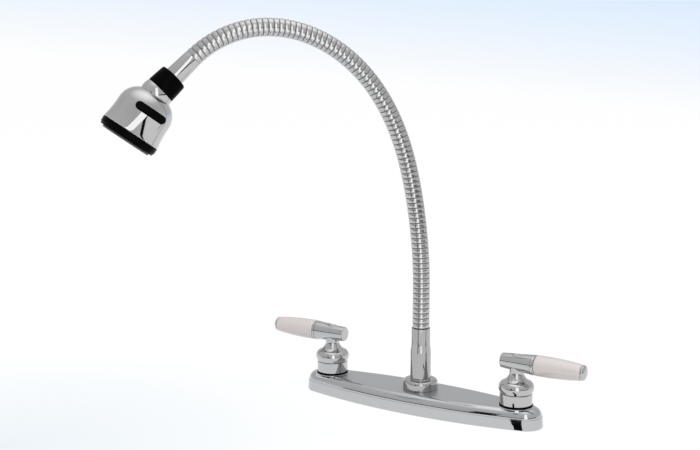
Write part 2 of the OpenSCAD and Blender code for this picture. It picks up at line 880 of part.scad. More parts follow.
// Chromed ball-shaped cover, seated in the nut
module dome_cover() {
  collar_t = 1;
  collar_h = 2.4;
  color("gainsboro")
    on_link(links)
      translate([0, 0, pivot_z])
        difference() {
          union() {
            intersection() {
              sphere(dome_r);
              disc(dome_r + 1, -pivot_drop, dome_skirt);
            }
            disc(dome_collar_r, -pivot_drop - collar_h, 0);
          }
          intersection() {
            sphere(dome_in_r);
            disc(dome_r + 1, -pivot_drop + dome_wall, dome_skirt + 1);
          }
          disc(dome_collar_r - collar_t, -pivot_drop - collar_h - 1, 0);
        }
}

module swivel_ball() {
  bore = 2.8;
  color("gold")
    on_link(links)
      difference() {
        union() {
          translate([0, 0, pivot_z]) sphere(ball_r);
          disc(ball_neck_r, turn_flange_z, pivot_z);
          disc(turn_flange_r, turn_flange_z, turn_flange_z + turn_flange_h);
        }
        disc(bore, turn_flange_z - 1, pivot_z + ball_r + 1);
        translate([0, 0, pivot_z + ball_r - 1]) cylinder(r = ball_r, h = 2);
      }
}

// The bell's outside, from its mouth to its lower edge
function bell_radius(t) =
  let (turn_z = 17, shoulder = 18.9, foot_from = 20, foot_len = head_l - foot_from,
       foot_out = head_foot_r - head_r,
       foot_r = (foot_len * foot_len + foot_out * foot_out) / (2 * foot_out))
  t < turn_z ? head_r - shoulder + sqrt(shoulder * shoulder - pow(turn_z - t, 2))
  : t < foot_from ? head_r
  : head_r + foot_r - sqrt(foot_r * foot_r - pow(t - foot_from, 2));

BELL_STEPS = [0.9, 1.6, 2.6, 4, 6, 8.5, 11.5, 14.5, 17, 20, 25, 29, 33, 36, head_l];

module bell_form(shrink) {
  rotate_extrude()
    polygon(concat(
      [[0, mouth_z], [dome_r + 0.75 - shrink, mouth_z]],
      [for (t = BELL_STEPS) [bell_radius(t) - shrink, mouth_z + t]],
      [[0, head_end]]));
}

// The hollow above the web, with an even wall under the shoulder
module bell_hollow_form() {
  turn_z = 17;
  shoulder = 18.9;
  inner = shoulder - head_wall;
  rotate_extrude()
    polygon(concat(
      [[0, mouth_z - 1], [dome_r + pass, mouth_z - 1], [dome_r + pass, mouth_z + 2.4]],
      [for (t = [3, 4.2, 5.8, 8, 11, web_z - mouth_z])
        [head_r - shoulder + sqrt(inner * inner - pow(turn_z - t, 2)), mouth_z + t]],
      [[0, web_z]]));
}

// A stadium-shaped bar through both sides of the bell
module grip_bar(gap) {
  r = grip_w / 2 - gap;
  translate([0, 0, mouth_z + grip_drop])
    rotate([90, 0, grip_turn])
      linear_extrude(2 * head_r + 10, center = true)
        union() {
          square([grip_span, 2 * r], center = true);
          for (side = [-1, 1]) translate([side * grip_span / 2, 0]) circle(r, $fn = 48);
        }
}

// What lies between the two finger grips, seen from their sides
module grip_floor(depth) {
  rotate([0, 0, grip_turn]) cube([80, 2 * depth, 120], center = true);
}

module head_bell() {
  color("gainsboro")
    on_head()
      difference() {
        bell_form(0);
        bell_hollow_form();
        disc(nipple_r + seat, 0, head_end);
        disc(bell_in_r, web_z + web_t, head_end + 1);
        ring(bell_in_r + snap_d + pass, bell_in_r - 1, head_end - 4.8, head_end - 2.8);
        difference() {
          grip_bar(0);
          grip_floor(grip_floor_y);
        }
      }
}

module head_grips() {
  color("black")
    on_head()
      difference() {
        intersection() {
          grip_bar(seat);
          bell_form(0.15);
        }
        grip_floor(grip_floor_y + seat);
        disc(bell_in_r, web_z + web_t, head_end);
      }
}

// Cup that holds the ball from below and screws into the bell's web
module socket_body() {
  color("khaki")
    on_head()
      difference() {
        union() {
          disc(socket_r, 0, web_z);
          disc(nipple_r, 0, web_z + web_t + 3);
        }
        sphere(ball_r + run);
        disc(3.5, 0, web_z + web_t + 4);
        disc(6, ball_r - 2.4, ball_r);
      }
}

module socket_nut() {
  opening_r = (ball_r + run) * sin(60);
  color("khaki")
    on_head()
      difference() {
        disc(socket_r, -socket_rise, 0);
        sphere(ball_r + run);
        disc(opening_r, -socket_rise - 1, -socket_rise + 0.6);
      }
}

// Rubber ring under the ball
module ball_seal() {
  color("black")
    on_head()
      difference() {
        disc(6 - seat, ball_r - 2.3, ball_r - 0.1);
        sphere(ball_r + run);
        disc(3.5, 0, ball_r);
      }
}

module flow_divider() {
  z0 = web_z + web_t + 8;
  color("khaki")
    on_head()
      difference() {
        union() {
          disc(bell_in_r - seat, z0, z0 + 2);
          disc(5, z0 - 3.5, z0 + 2);
        }
        for (i = [0 : 7])
          rotate([0, 0, i * 45])
            translate([15, 0, 0])
              disc(2.4, z0 - 1, z0 + 3);
        disc(2, z0 - 4, z0 + 3);
      }
}

// Black ring round the face, held in the bell by a snap bead
module face_ring() {
  spigot = bell_in_r - pass;
  edge = 0.8;
  color("black")
    on_head()
      rotate_extrude()
        polygon([
          [plate_r - 1.4, head_end - 5.5], [spigot, head_end - 5.5], [spigot, head_end - 4.6],
          [spigot + snap_d, head_end - 4.4], [spigot + snap_d, head_end - 3.4],
          [spigot, head_end - 3.2], [spigot, face_z],
          [head_foot_r - 0.2, face_z], [head_foot_r - 0.1, face_z + 0.6],
          [head_foot_r - 0.4, face_end - edge], [head_foot_r - 0.4 - edge, face_end],
          [plate_r + seat, face_end], [plate_r + seat, face_z + 2.6],
          [plate_r - 1.4, face_z + 2.6]
        ]);
}

module spray_plate() {
  plate_z = face_z + 2.6;
  plate_end = face_end + plate_lip;
  color("dimgray")
    on_head()
      difference() {
        rotate_extrude()
          polygon([
            [plate_bore_r, plate_z], [plate_r, plate_z], [plate_r, plate_end - 0.5],
            [plate_r - 0.5, plate_end], [plate_r - 2, plate_end],
            [plate_r - 2.6, plate_end - 0.6], [plate_bore_r, plate_end - 0.6]
          ]);
        for (row = [0 : 2])
          for (i = [0 : 11 + 4 * row])
            rotate([0, 0, (i + 0.5) * 360 / (12 + 4 * row)])
              translate([row_first + row * row_step, 0, 0])
                disc(0.8, plate_z - 1, plate_end + 1);
      }
}

module aerator_screen() {
  plate_z = face_z + 2.6;
  color("silver")
    on_head()
      difference() {
        disc(plate_bore_r - seat, plate_z, face_end + 0.4);
        disc(6.6, plate_z + 1.6, face_end + 1);
        for (i = [-2 : 2])
          for (j = [-2 : 2])
            if (i * i + j * j < 7)
              translate([i * 2.4, j * 2.4, 0])
                disc(0.9, plate_z - 1, plate_z + 3);
      }
}

module handle_piece(name, piece) {
  if (piece == "moving_disc") moving_disc(name);
  if (piece == "stem") stem(name);
  if (piece == "handle_hub") handle_hub(name);
  if (piece == "handle_screw") handle_screw(name);
  if (piece == "index_cap") index_cap(name);
  if (piece == "lever_rod") lever_rod(name);
  if (piece == "lever_grip") lever_grip(name);
  if (piece == "tip_cap") tip_cap(name);
}

deck_plate();
deck_gasket();
hot_valve_body();
cold_valve_body();
spout_body();
crossover_tubes();
shank_nuts();
seal_rings();
valve_skirts();
cartridges();
cartridge_nuts();
fixed_discs();
seat_seals();
spout_hub();
thrust_washer();
spout_post();
spout_o_rings();
spout_collar();
spout_retaining_ring();
inner_hose();
for (k = [0 : links - 1])
  hose_link(k);
end_ferrule();
collar_nut();
dome_cover();
swivel_ball();
head_bell();
socket_body();
socket_nut();
ball_seal();
head_grips();
flow_divider();
face_ring();
spray_plate();
aerator_screen();
for (h = HANDLES)
  for (p = ["moving_disc", "stem", "handle_hub", "handle_screw", "index_cap", "lever_rod",
            "lever_grip", "tip_cap"])
    handle_piece(h, p);
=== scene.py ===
"""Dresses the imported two-handle sink mixer: chrome, porcelain levers, ringed gooseneck, spray head.

Sizes in the classes are millimetres in the frame of the solids. Meshes are written in metres, and
the studio is in metres too. SPAN is the distance between the two valves.
"""

import logging
import math
from dataclasses import dataclass, field
from enum import Enum
from functools import cache

import bmesh
import bpy
from mathutils import Matrix, Vector


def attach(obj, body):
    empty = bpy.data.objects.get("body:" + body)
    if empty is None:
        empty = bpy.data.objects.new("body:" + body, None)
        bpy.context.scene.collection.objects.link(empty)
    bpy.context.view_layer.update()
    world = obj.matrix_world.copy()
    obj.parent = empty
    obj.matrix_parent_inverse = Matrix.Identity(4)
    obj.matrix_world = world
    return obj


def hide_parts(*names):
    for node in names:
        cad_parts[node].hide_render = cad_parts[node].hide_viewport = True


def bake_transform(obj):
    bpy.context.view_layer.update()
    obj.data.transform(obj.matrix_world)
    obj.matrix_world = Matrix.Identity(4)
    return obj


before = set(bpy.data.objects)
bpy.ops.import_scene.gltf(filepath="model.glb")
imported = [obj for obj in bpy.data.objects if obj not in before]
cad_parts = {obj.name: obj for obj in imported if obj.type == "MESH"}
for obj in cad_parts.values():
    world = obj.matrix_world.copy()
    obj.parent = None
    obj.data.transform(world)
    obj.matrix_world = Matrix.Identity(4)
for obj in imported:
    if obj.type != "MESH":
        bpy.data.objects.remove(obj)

LOG = logging.getLogger("mixer")
MM = 0.001
SPAN = 203.2
WELD = 2e-7

Point = tuple[float, float]
Outline = list[Point]
Place = tuple[float, float, float]
Color = tuple[float, float, float]


# Drawing


def arc(centre: Point, radius: float, start: float, end: float, steps: int) -> Outline:
    """Points along a circular arc.

    Args:
        centre: Middle of the circle.
        radius: Radius of the circle.
        start: First angle in degrees.
        end: Last angle in degrees.
        steps: Number of chords.

    Returns:
        steps + 1 points, both ends included.
    """
    points = []
    for i in range(steps + 1):
        a = math.radians(start + (end - start) * i / steps)
        points.append((centre[0] + radius * math.cos(a), centre[1] + radius * math.sin(a)))
    return points


def soften(points: Outline, radius: float, steps: int = 4, limit: float = 20.0) -> Outline:
    """Rounds the corners of an open outline.

    Args:
        points: The outline's corners.
        radius: Radius of each rounding, less where an edge is short.
        steps: Chords in each rounding.
        limit: Corners that turn by fewer degrees stay as they are.

    Returns:
        The outline with its sharp corners replaced by arcs.
    """
    shortest, share = 1e-6, 0.45
    rounded = [points[0]]
    for before, corner, after in zip(points, points[1:], points[2:]):
        b, c, a = Vector(before), Vector(corner), Vector(after)
        come, go = (c - b), (a - c)
        if min(come.length, go.length) < shortest:
            continue
        turn = come.angle(go)
        if math.degrees(turn) < limit:
            rounded.append(corner)
            continue
        reach = min(radius * math.tan(turn / 2), come.length * share, go.length * share)
        p, q = c - come.normalized() * reach, c + go.normalized() * reach
        for i in range(steps + 1):
            t = i / steps
            r = (1 - t) ** 2 * p + 2 * t * (1 - t) * c + t * t * q
            rounded.append((r.x, r.y))
    rounded.append(points[-1])
    return rounded


# Shop


class Shop:
    """The tools that turn outlines into closed meshes."""

    @staticmethod
    def spun(profile: Outline, steps: int = 96) -> bmesh.types.BMesh:
        """Spins a profile about +Z.

        Args:
            profile: Radius and height of each point, in millimetres, from axis to axis or,
                on a ring, back to the first point.
            steps: Sides of the turned shape.

        Returns:
            A closed mesh with its faces outwards.
        """
        bm = bmesh.new()
        verts = [bm.verts.new((r * MM, 0.0, z * MM)) for r, z in profile]
        edges = [bm.edges.new(pair) for pair in zip(verts, verts[1:])]
        bmesh.ops.spin(bm, geom=verts + edges, axis=(0, 0, 1), cent=(0, 0, 0),
                       angle=math.tau, steps=steps, use_merge=True)
        bmesh.ops.remove_doubles(bm, verts=bm.verts, dist=WELD)
        bmesh.ops.recalc_face_normals(bm, faces=bm.faces)
        return bm

    @staticmethod
    def join(parts: list[tuple[bmesh.types.BMesh, Matrix]]) -> bmesh.types.BMesh:
        """Lays several meshes into one, each at its place.

        Args:
            parts: Meshes with their places, which are used up.

        Returns:
            One mesh that holds them all.
        """
        whole = bmesh.new()
        for bm, place in parts:
            bmesh.ops.transform(bm, matrix=place, verts=bm.verts)
            mesh = bpy.data.meshes.new("part")
            bm.to_mesh(mesh)
            bm.free()
            whole.from_mesh(mesh)
            bpy.data.meshes.remove(mesh)
        return whole

    @staticmethod
    def cut(piece: bpy.types.Object, cutter: bpy.types.Object) -> None:
        """Takes one piece away from another.

        Args:
            piece: The piece that keeps its name.
            cutter: What is taken away, which is used up.
        """
        knife = piece.modifiers.new("cut", "BOOLEAN")
        knife.operation = "DIFFERENCE"
        knife.solver = "EXACT"
        knife.object = cutter
        graph = bpy.context.evaluated_depsgraph_get()
        mesh = bpy.data.meshes.new_from_object(piece.evaluated_get(graph))
        piece.modifiers.clear()
        piece.data = mesh
        bpy.data.objects.remove(cutter)

    @staticmethod
    def deliver(bm: bmesh.types.BMesh, name: str, look: "Look", place: Matrix | None = None,
                sharp: float = 38.0) -> bpy.types.Object:
        """Writes a mesh to an object at the origin.

        Args:
            bm: The mesh, which is used up.
            name: Name of the piece.
            look: Its finish.
            place: Where the mesh goes in the frame of the solids.
            sharp: Edges that turn by more degrees stay crisp.

        Returns:
            The new object.
        """
        if place is not None:
            bmesh.ops.transform(bm, matrix=place, verts=bm.verts)
        for face in bm.faces:
            face.smooth = True
        for edge in bm.edges:
            if len(edge.link_faces) == 2:
                edge.smooth = edge.calc_face_angle(0.0) < math.radians(sharp)
        mesh = bpy.data.meshes.new(name)
        bm.to_mesh(mesh)
        bm.free()
        mesh.materials.append(look.material())
        piece = bpy.data.objects.new(name, mesh)
        bpy.context.scene.collection.objects.link(piece)
        return piece

    @classmethod
    def turned(cls, profile: Outline, name: str, look: "Look", place: Matrix | None = None,
               steps: int = 96, sharp: float = 38.0) -> bpy.types.Object:
        """A piece that is one closed profile spun about an axis, as spun and deliver make it."""
        return cls.deliver(cls.spun(profile, steps), name, look, place, sharp)


def fit(piece: bpy.types.Object, body: str, slot: str, *nodes: str) -> bpy.types.Object:
    """Lets a piece ride on a body in place of the solids it dresses.

    Args:
        piece: The new piece.
        body: The body that carries it.
        slot: The record's material slot; not used.
        nodes: The solids that it stands for.

    Returns:
        The piece.
    """
    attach(piece, body)
    if nodes:
        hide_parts(*nodes)
    LOG.info("%s rides on %s, %d faces", piece.name, body, len(piece.data.polygons))
    return piece


# Finishes


def shader_node(tree: bpy.types.NodeTree, kind: str,
                inputs: dict[str | int, object] | None = None,
                **settings: object) -> bpy.types.Node:
    """Places a shader node, sets it up and wires its inputs.

    Args:
        tree: The tree that it goes into.
        kind: Its type, without the leading ShaderNode.
        inputs: A plain value, or the socket that feeds it, for each input to set.
        settings: Properties of the node, such as its operation.

    Returns:
        The node.
    """
    node = tree.nodes.new(f"ShaderNode{kind}")
    for name, value in settings.items():
        setattr(node, name, value)
    for socket, value in (inputs or {}).items():
        if isinstance(value, bpy.types.NodeSocket):
            tree.links.new(value, node.inputs[socket])
        else:
            node.inputs[socket].default_value = value
    return node


class SharedGroups:
    """Node groups that several finishes use, each built once."""

    @staticmethod
    def _start(name: str, result: str, values: dict[str, float],
               colors: tuple[str, ...] = ()) -> bpy.types.NodeTree:
        """Makes an empty group that takes a place and gives one result.

        Args:
            name: Name of the group.
            result: Its output, a colour where it takes colours and a number elsewhere.
            values: Its number inputs, with their first values.
            colors: Its colour inputs.

        Returns:
            The group, with an input node "in" and an output node "out".
        """
        tree = bpy.data.node_groups.new(name, "ShaderNodeTree")
        number, color = "NodeSocketFloat", "NodeSocketColor"
        tree.interface.new_socket("Vector", in_out="INPUT", socket_type="NodeSocketVector")
        for label in colors:
            tree.interface.new_socket(label, in_out="INPUT", socket_type=color)
        for label, value in values.items():
            socket = tree.interface.new_socket(label, in_out="INPUT", socket_type=number)
            socket.default_value = value
        tree.interface.new_socket(result, in_out="OUTPUT", socket_type=color if colors else number)
        tree.nodes.new("NodeGroupInput").name = "in"
        tree.nodes.new("NodeGroupOutput").name = "out"
        return tree

    @staticmethod
    @cache
    def smudge() -> bpy.types.NodeTree:
        """Uneven sheen of a wiped surface: a cloud shifts the roughness.

        Returns:
            The group.
        """
        tree = SharedGroups._start("smudge", "Roughness",
                                   {"Roughness": 0.1, "Spread": 0.05, "Scale": 40.0})
        given = tree.nodes["in"].outputs
        cloud = shader_node(tree, "TexNoise", {"Vector": given["Vector"],
                                               "Scale": given["Scale"], "Detail": 3.0})
        shift = shader_node(tree, "Math", {0: cloud.outputs["Fac"], 1: 0.5},
                            operation="SUBTRACT")
        rough = shader_node(tree, "Math", {0: shift.outputs[0], 1: given["Spread"],
                                           2: given["Roughness"]}, operation="MULTIPLY_ADD")
        tree.links.new(rough.outputs[0], tree.nodes["out"].inputs[0])
        return tree

    @staticmethod
    @cache
    def grain() -> bpy.types.NodeTree:
        """Fine relief of a cast, moulded or glazed surface, as a height.

        Returns:
            The group.
        """
        tree = SharedGroups._start("grain", "Height", {"Scale": 600.0, "Coarse": 0.4})
        given = tree.nodes["in"].outputs
        fine = shader_node(tree, "TexNoise", {"Vector": given["Vector"],
                                              "Scale": given["Scale"], "Detail": 2.0})
        larger = shader_node(tree, "Math", {0: given["Scale"], 1: 0.12}, operation="MULTIPLY")
        wide = shader_node(tree, "TexNoise", {"Vector": given["Vector"],
                                              "Scale": larger.outputs[0], "Detail": 1.0})
        both = shader_node(tree, "Math", {0: wide.outputs["Fac"], 1: given["Coarse"],
                                          2: fine.outputs["Fac"]}, operation="MULTIPLY_ADD")
        tree.links.new(both.outputs[0], tree.nodes["out"].inputs[0])
        return tree

    @staticmethod
    @cache
    def drift() -> bpy.types.NodeTree:
        """Slow change between two near colours, as in fired glaze or drawn metal.

        Returns:
            The group.
        """
        tree = SharedGroups._start("drift", "Color", {"Scale": 30.0}, ("Color", "Other"))
        given = tree.nodes["in"].outputs
        cloud = shader_node(tree, "TexNoise", {"Vector": given["Vector"],
                                               "Scale": given["Scale"], "Detail": 4.0})
        mix = shader_node(tree, "Mix", {0: cloud.outputs["Fac"], 6: given["Color"],
                                        7: given["Other"]}, data_type="RGBA")
        tree.links.new(mix.outputs[2], tree.nodes["out"].inputs[0])
        return tree


@dataclass(frozen=True)
class Finish:
    """One surface finish: two near colours, its sheen, its relief and a clear coat."""

    name: str
    color: Color
    other: Color
    metallic: float = 0.0
    roughness: float = 0.3
    spread: float = 0.05
    smudge: float = 40.0
    grain: float = 900.0
    depth: float = 0.00002
    strength: float = 0.1
    drift: float = 30.0
    coat: float = 0.0
    coat_roughness: float = 0.05
    specular: float = 0.5

    def material(self) -> bpy.types.Material:
        """The finish as a material, made the first time it is asked for.

        Returns:
            The material.
        """
        found = bpy.data.materials.get(self.name)
        if found is not None:
            return found
        made = bpy.data.materials.new(self.name)
        made.use_nodes = True
        tree = made.node_tree
        tree.nodes.clear()
        where = shader_node(tree, "TexCoord").outputs["Object"]
        drift = shader_node(tree, "Group", {"Vector": where, "Color": (*self.color, 1.0),
                                            "Other": (*self.other, 1.0), "Scale": self.drift},
                            node_tree=SharedGroups.drift())
        smudge = shader_node(tree, "Group", {"Vector": where, "Roughness": self.roughness,
                                             "Spread": self.spread, "Scale": self.smudge},
                             node_tree=SharedGroups.smudge())
        grain = shader_node(tree, "Group", {"Vector": where, "Scale": self.grain},
                            node_tree=SharedGroups.grain())
        bump = shader_node(tree, "Bump", {"Strength": self.strength, "Distance": self.depth,
                                          "Height": grain.outputs["Height"]})
        shader = shader_node(tree, "BsdfPrincipled", {
            "Base Color": drift.outputs["Color"],
            "Metallic": self.metallic,
            "Roughness": smudge.outputs["Roughness"],
            "Specular IOR Level": self.specular,
            "Coat Weight": self.coat,
            "Coat Roughness": self.coat_roughness,
            "Normal": bump.outputs["Normal"],
        })
        shader_node(tree, "OutputMaterial", {"Surface": shader.outputs["BSDF"]})
        return made


class Look(Enum):
    """The finishes of this mixer."""

    CHROME = Finish("polished_chrome", (0.52, 0.52, 0.525), (0.50, 0.50, 0.505), metallic=1.0,
                    roughness=0.05, spread=0.03, smudge=25.0, grain=260.0)
    DECK = Finish("plate_chrome", (0.52, 0.527, 0.535), (0.50, 0.507, 0.515), metallic=1.0,
                  roughness=0.07, spread=0.04, smudge=18.0, grain=220.0)
    PLATE_TOP = Finish("plate_top_chrome", (0.50, 0.508, 0.515), (0.48, 0.488, 0.495), metallic=1.0,
                       roughness=0.34, spread=0.04, smudge=18.0, grain=220.0)
    SATIN = Finish("satin_chrome", (0.44, 0.437, 0.44), (0.425, 0.42, 0.425), metallic=1.0,
                   roughness=0.10, spread=0.03, smudge=22.0, grain=240.0)
    RINGS = Finish("gooseneck_strip", (0.54, 0.54, 0.545), (0.49, 0.49, 0.495), metallic=1.0,
                   roughness=0.16, spread=0.08, smudge=120.0, depth=0.00003, strength=0.15,
                   drift=90.0)
    # Painted shade: a darker grey for the grooves between the gooseneck's rings.
    PAINTED_GROOVE_SHADE = Finish("painted_groove_shade_shadow", (0.27, 0.27, 0.275), (0.20, 0.20, 0.205), metallic=0.6,
                    roughness=0.45, spread=0.1, smudge=90.0, grain=700.0, depth=0.00003,
                    strength=0.2, drift=60.0)
    PORCELAIN = Finish("porcelain_glaze", (0.60, 0.55, 0.54), (0.615, 0.567, 0.558), roughness=0.2,
                       spread=0.04, smudge=30.0, grain=350.0, depth=0.00003, strength=0.12,
                       drift=22.0, coat=0.6, coat_roughness=0.04)
    BLACK = Finish("moulded_black", (0.0012, 0.0012, 0.0016), (0.002, 0.002, 0.0024),
                   roughness=0.22, spread=0.06, smudge=60.0, grain=1400.0, depth=0.00004,
                   strength=0.3, drift=50.0, specular=0.02)
    RUBBER = Finish("black_rubber", (0.0015, 0.0015, 0.0018), (0.003, 0.003, 0.0032), roughness=0.5,
                    spread=0.1, smudge=80.0, grain=1600.0, depth=0.00006, strength=0.4, drift=60.0,
                    specular=0.02)
    GREY_PLASTIC = Finish("spray_face_grey", (0.09, 0.09, 0.095), (0.12, 0.12, 0.125),
                          roughness=0.42, spread=0.08, smudge=70.0, grain=1500.0, depth=0.00005,
                          strength=0.35, drift=50.0)
    WHITE_PLASTIC = Finish("moulded_white", (0.80, 0.80, 0.78), (0.74, 0.74, 0.72), roughness=0.4,
                           spread=0.08, smudge=60.0, grain=1300.0, depth=0.00004, strength=0.3,
                           drift=40.0)
    BRASS = Finish("machined_brass", (0.74, 0.56, 0.28), (0.66, 0.48, 0.23), metallic=1.0,
                   roughness=0.28, spread=0.1, smudge=70.0, grain=1100.0, depth=0.00005,
                   strength=0.3, drift=60.0)
    COPPER = Finish("drawn_copper", (0.72, 0.42, 0.27), (0.60, 0.33, 0.21), metallic=1.0,
                    spread=0.1, smudge=60.0, depth=0.00004, strength=0.3, drift=45.0)
    STEEL = Finish("plain_steel", (0.62, 0.62, 0.63), (0.55, 0.55, 0.56), metallic=1.0,
                   roughness=0.25, spread=0.08, smudge=90.0, grain=1200.0, depth=0.00004,
                   strength=0.25, drift=60.0)
    DISC = Finish("lapped_ceramic", (0.88, 0.88, 0.86), (0.82, 0.82, 0.80), roughness=0.2,
                  smudge=60.0, grain=1500.0, strength=0.2, drift=50.0)
    FOAM = Finish("gasket_foam", (0.05, 0.05, 0.05), (0.08, 0.08, 0.08), roughness=0.85,
                  spread=0.08, smudge=120.0, grain=2200.0, depth=0.0002, strength=0.8, drift=160.0)
    ENAMEL = Finish("index_enamel", (0.42, 0.43, 0.44), (0.36, 0.37, 0.38), metallic=0.2,
                    roughness=0.25, smudge=90.0, strength=0.15, drift=70.0, coat=0.5)

    def material(self) -> bpy.types.Material:
        """The finish as a material."""
        return self.value.material()


# Places


@dataclass
class Route:
    """The gooseneck's centreline: links that each bend evenly in one plane."""

    heading: float = 230.0
    start: float = 79.3
    link: float = 39.6
    bends: tuple[float, ...] = (0, 5, 4, 5, 9, 12, 15, 17, 20, 23, 23)

    def at(self, s: float) -> Matrix:
        """The place on the centreline after s millimetres, with +Z along it.

        Args:
            s: Distance from the top of the collar; the line runs straight beyond its ends.

        Returns:
            A matrix in metres, with +X on the outer side of the bend's plane.
        """
        reach, height, angle = 0.0, self.start, 0.0
        within = min(max(s, 0.0), self.length)
        left = within
        for bend in self.bends:
            step = min(left, self.link)
            turn = bend * step / self.link
            if turn:
                radius = step / math.radians(turn)
                side = radius * (1 - math.cos(math.radians(turn)))
                along = radius * math.sin(math.radians(turn))
            else:
                side, along = 0.0, step
            a = math.radians(angle)
            reach += along * math.sin(a) + side * math.cos(a)
            height += along * math.cos(a) - side * math.sin(a)
            angle += turn
            left -= step
            if left <= 0:
                break
        extra = s - within
        a = math.radians(angle)
        reach += extra * math.sin(a)
        height += extra * math.cos(a)
        return (Matrix.Rotation(math.radians(self.heading), 4, "Z")
                @ Matrix.Translation((reach * MM, 0, height * MM))
                @ Matrix.Rotation(a, 4, "Y"))

    @property
    def length(self) -> float:
        """Length of the whole gooseneck."""
        return self.link * len(self.bends)


@dataclass
class Levels:
    """Heights that more than one class needs."""

    deck: float = 19.0
    seat: float = 19.3
    skirt: float = 20.8
    skirt_top: float = 31.3
    hub_top: float = 28.3
    collar: float = 28.8
    lever: float = 60.2


# Deck


@dataclass
class DeckPlate:
    """The oval chromed plate with its two raised valve seats."""

    length: float = 256.0
    width: float = 60.0
    end_radius: float = 17.0
    wall: float = 1.6
    shoulder: float = 8.5
    flare: float = 1.2
    foot: float = 0.4
    seat_radius: float = 16.2
    span: float = SPAN
    rounding: int = 12
    levels: Levels = field(default_factory=Levels)

    def plan(self, inset: float, sides: int = 200) -> Outline:
        """The oval outline, drawn in all round.

        Args:
            inset: Distance from the plate's largest outline.
            sides: Number of points.

        Returns:
            Points evenly spaced by the direction of the outline's normal.
        """
        half_l, half_w = self.length / 2 - inset, self.width / 2 - inset
        small = self.end_radius - inset
        c = half_l - small
        big = (c * c + half_w * half_w - small * small) / (2 * (half_w - small))
        turn = math.degrees(math.atan2(big - half_w, c))
        points = []
        quarter = sides // 4
        near = quarter * 2 // 5
        angles = [turn * i / near for i in range(near)]
        angles += [turn + (90 - turn) * i / (quarter - near) for i in range(quarter - near)]
        back = [90.0] + angles[:0:-1]
        for run, sx, sy in ((angles, 1, 1), (back, -1, 1), (angles, -1, -1), (back, 1, -1)):
            for a in run:
                cos, sin = math.cos(math.radians(a)), math.sin(math.radians(a))
                if a <= turn:
                    points.append((sx * (c + small * cos), sy * small * sin))
                else:
                    points.append((sx * big * cos, sy * (half_w - big + big * sin)))
        return points

    def rows(self) -> list[Point]:
        """The rows of the skin, from the inner foot over the top.

        Returns:
            Inset and height of each row.
        """
        top, r, side = self.levels.deck, self.shoulder, self.flare
        rows = [(self.wall + 0.3, self.foot), (0.5, self.foot), (0.12, self.foot + 0.12),
                (0.0, self.foot + 0.5), (side * 0.25, top * 0.3), (side * 0.62, top * 0.55)]
        for i in range(self.rounding + 1):
            a = math.radians(90 * i / self.rounding)
            rows.append((side + r * (1 - math.cos(a)), top - r * (1 - math.sin(a))))
        rows += [(side + r + 0.5, top), (side + r + 1.0, top)]
        return rows

    def build(self) -> None:
        """Makes the plate and its seats as one piece."""
        bm = bmesh.new()
        rows = [(self.wall + self.flare, self.levels.deck - self.wall - 2.0)] + self.rows()
        circle = bmesh.ops.create_circle(bm, cap_ends=True, radius=1.0,
                                         segments=len(self.plan(0.0)))["verts"]
        ring = sorted(circle, key=lambda v: math.atan2(v.co.y, v.co.x) % math.tau)
        self._lay(ring, *rows[0])
        for inset, height in rows[1:]:
            edges = [bm.edges.get(pair) for pair in zip(ring, ring[1:] + ring[:1])]
            bmesh.ops.extrude_edge_only(bm, edges=edges)
            ring = [self._above(vert, ring) for vert in ring]
            self._lay(ring, inset, height)
        bmesh.ops.contextual_create(bm, geom=[bm.edges.get(pair)
                                              for pair in zip(ring, ring[1:] + ring[:1])])
        bmesh.ops.recalc_face_normals(bm, faces=bm.faces)
        seat = self.seat_radius
        top, base = self.levels.seat, self.levels.deck
        profile = soften([(0, base - 3), (seat + 1.6, base - 3), (seat + 1.1, base - 0.2),
                          (seat, top), (0, top)], 0.5, 4)
        parts = [(bm, Matrix.Identity(4))]
        for side in (-1, 1):
            parts.append((Shop.spun(profile, 96),
                          Matrix.Translation((side * self.span / 2 * MM, 0, 0))))
        piece = Shop.deliver(Shop.join(parts), "deck_plate_skin", Look.DECK, sharp=30)
        piece.data.materials.append(Look.PLATE_TOP.material())
        near, upright = 1e-5, 0.99
        for face in piece.data.polygons:
            if abs(face.center.z - base * MM) < near and face.normal.z > upright:
                face.material_index = 1
        fit(piece, "base", "deck_chrome", "deck_plate")

    @staticmethod
    def _above(vert: bmesh.types.BMVert, ring: list[bmesh.types.BMVert]) -> bmesh.types.BMVert:
        """The copy of a point that the last extrusion made."""
        return next(v for e in vert.link_edges for v in e.verts
                    if v is not vert and v.co == vert.co and v not in ring)

    def _lay(self, ring: list[bmesh.types.BMVert], inset: float, height: float) -> None:
        """Moves one row of points onto the outline at its inset and height."""
        for vert, (x, y) in zip(ring, self.plan(inset)):
            vert.co = (x * MM, y * MM, height * MM)


# Valves


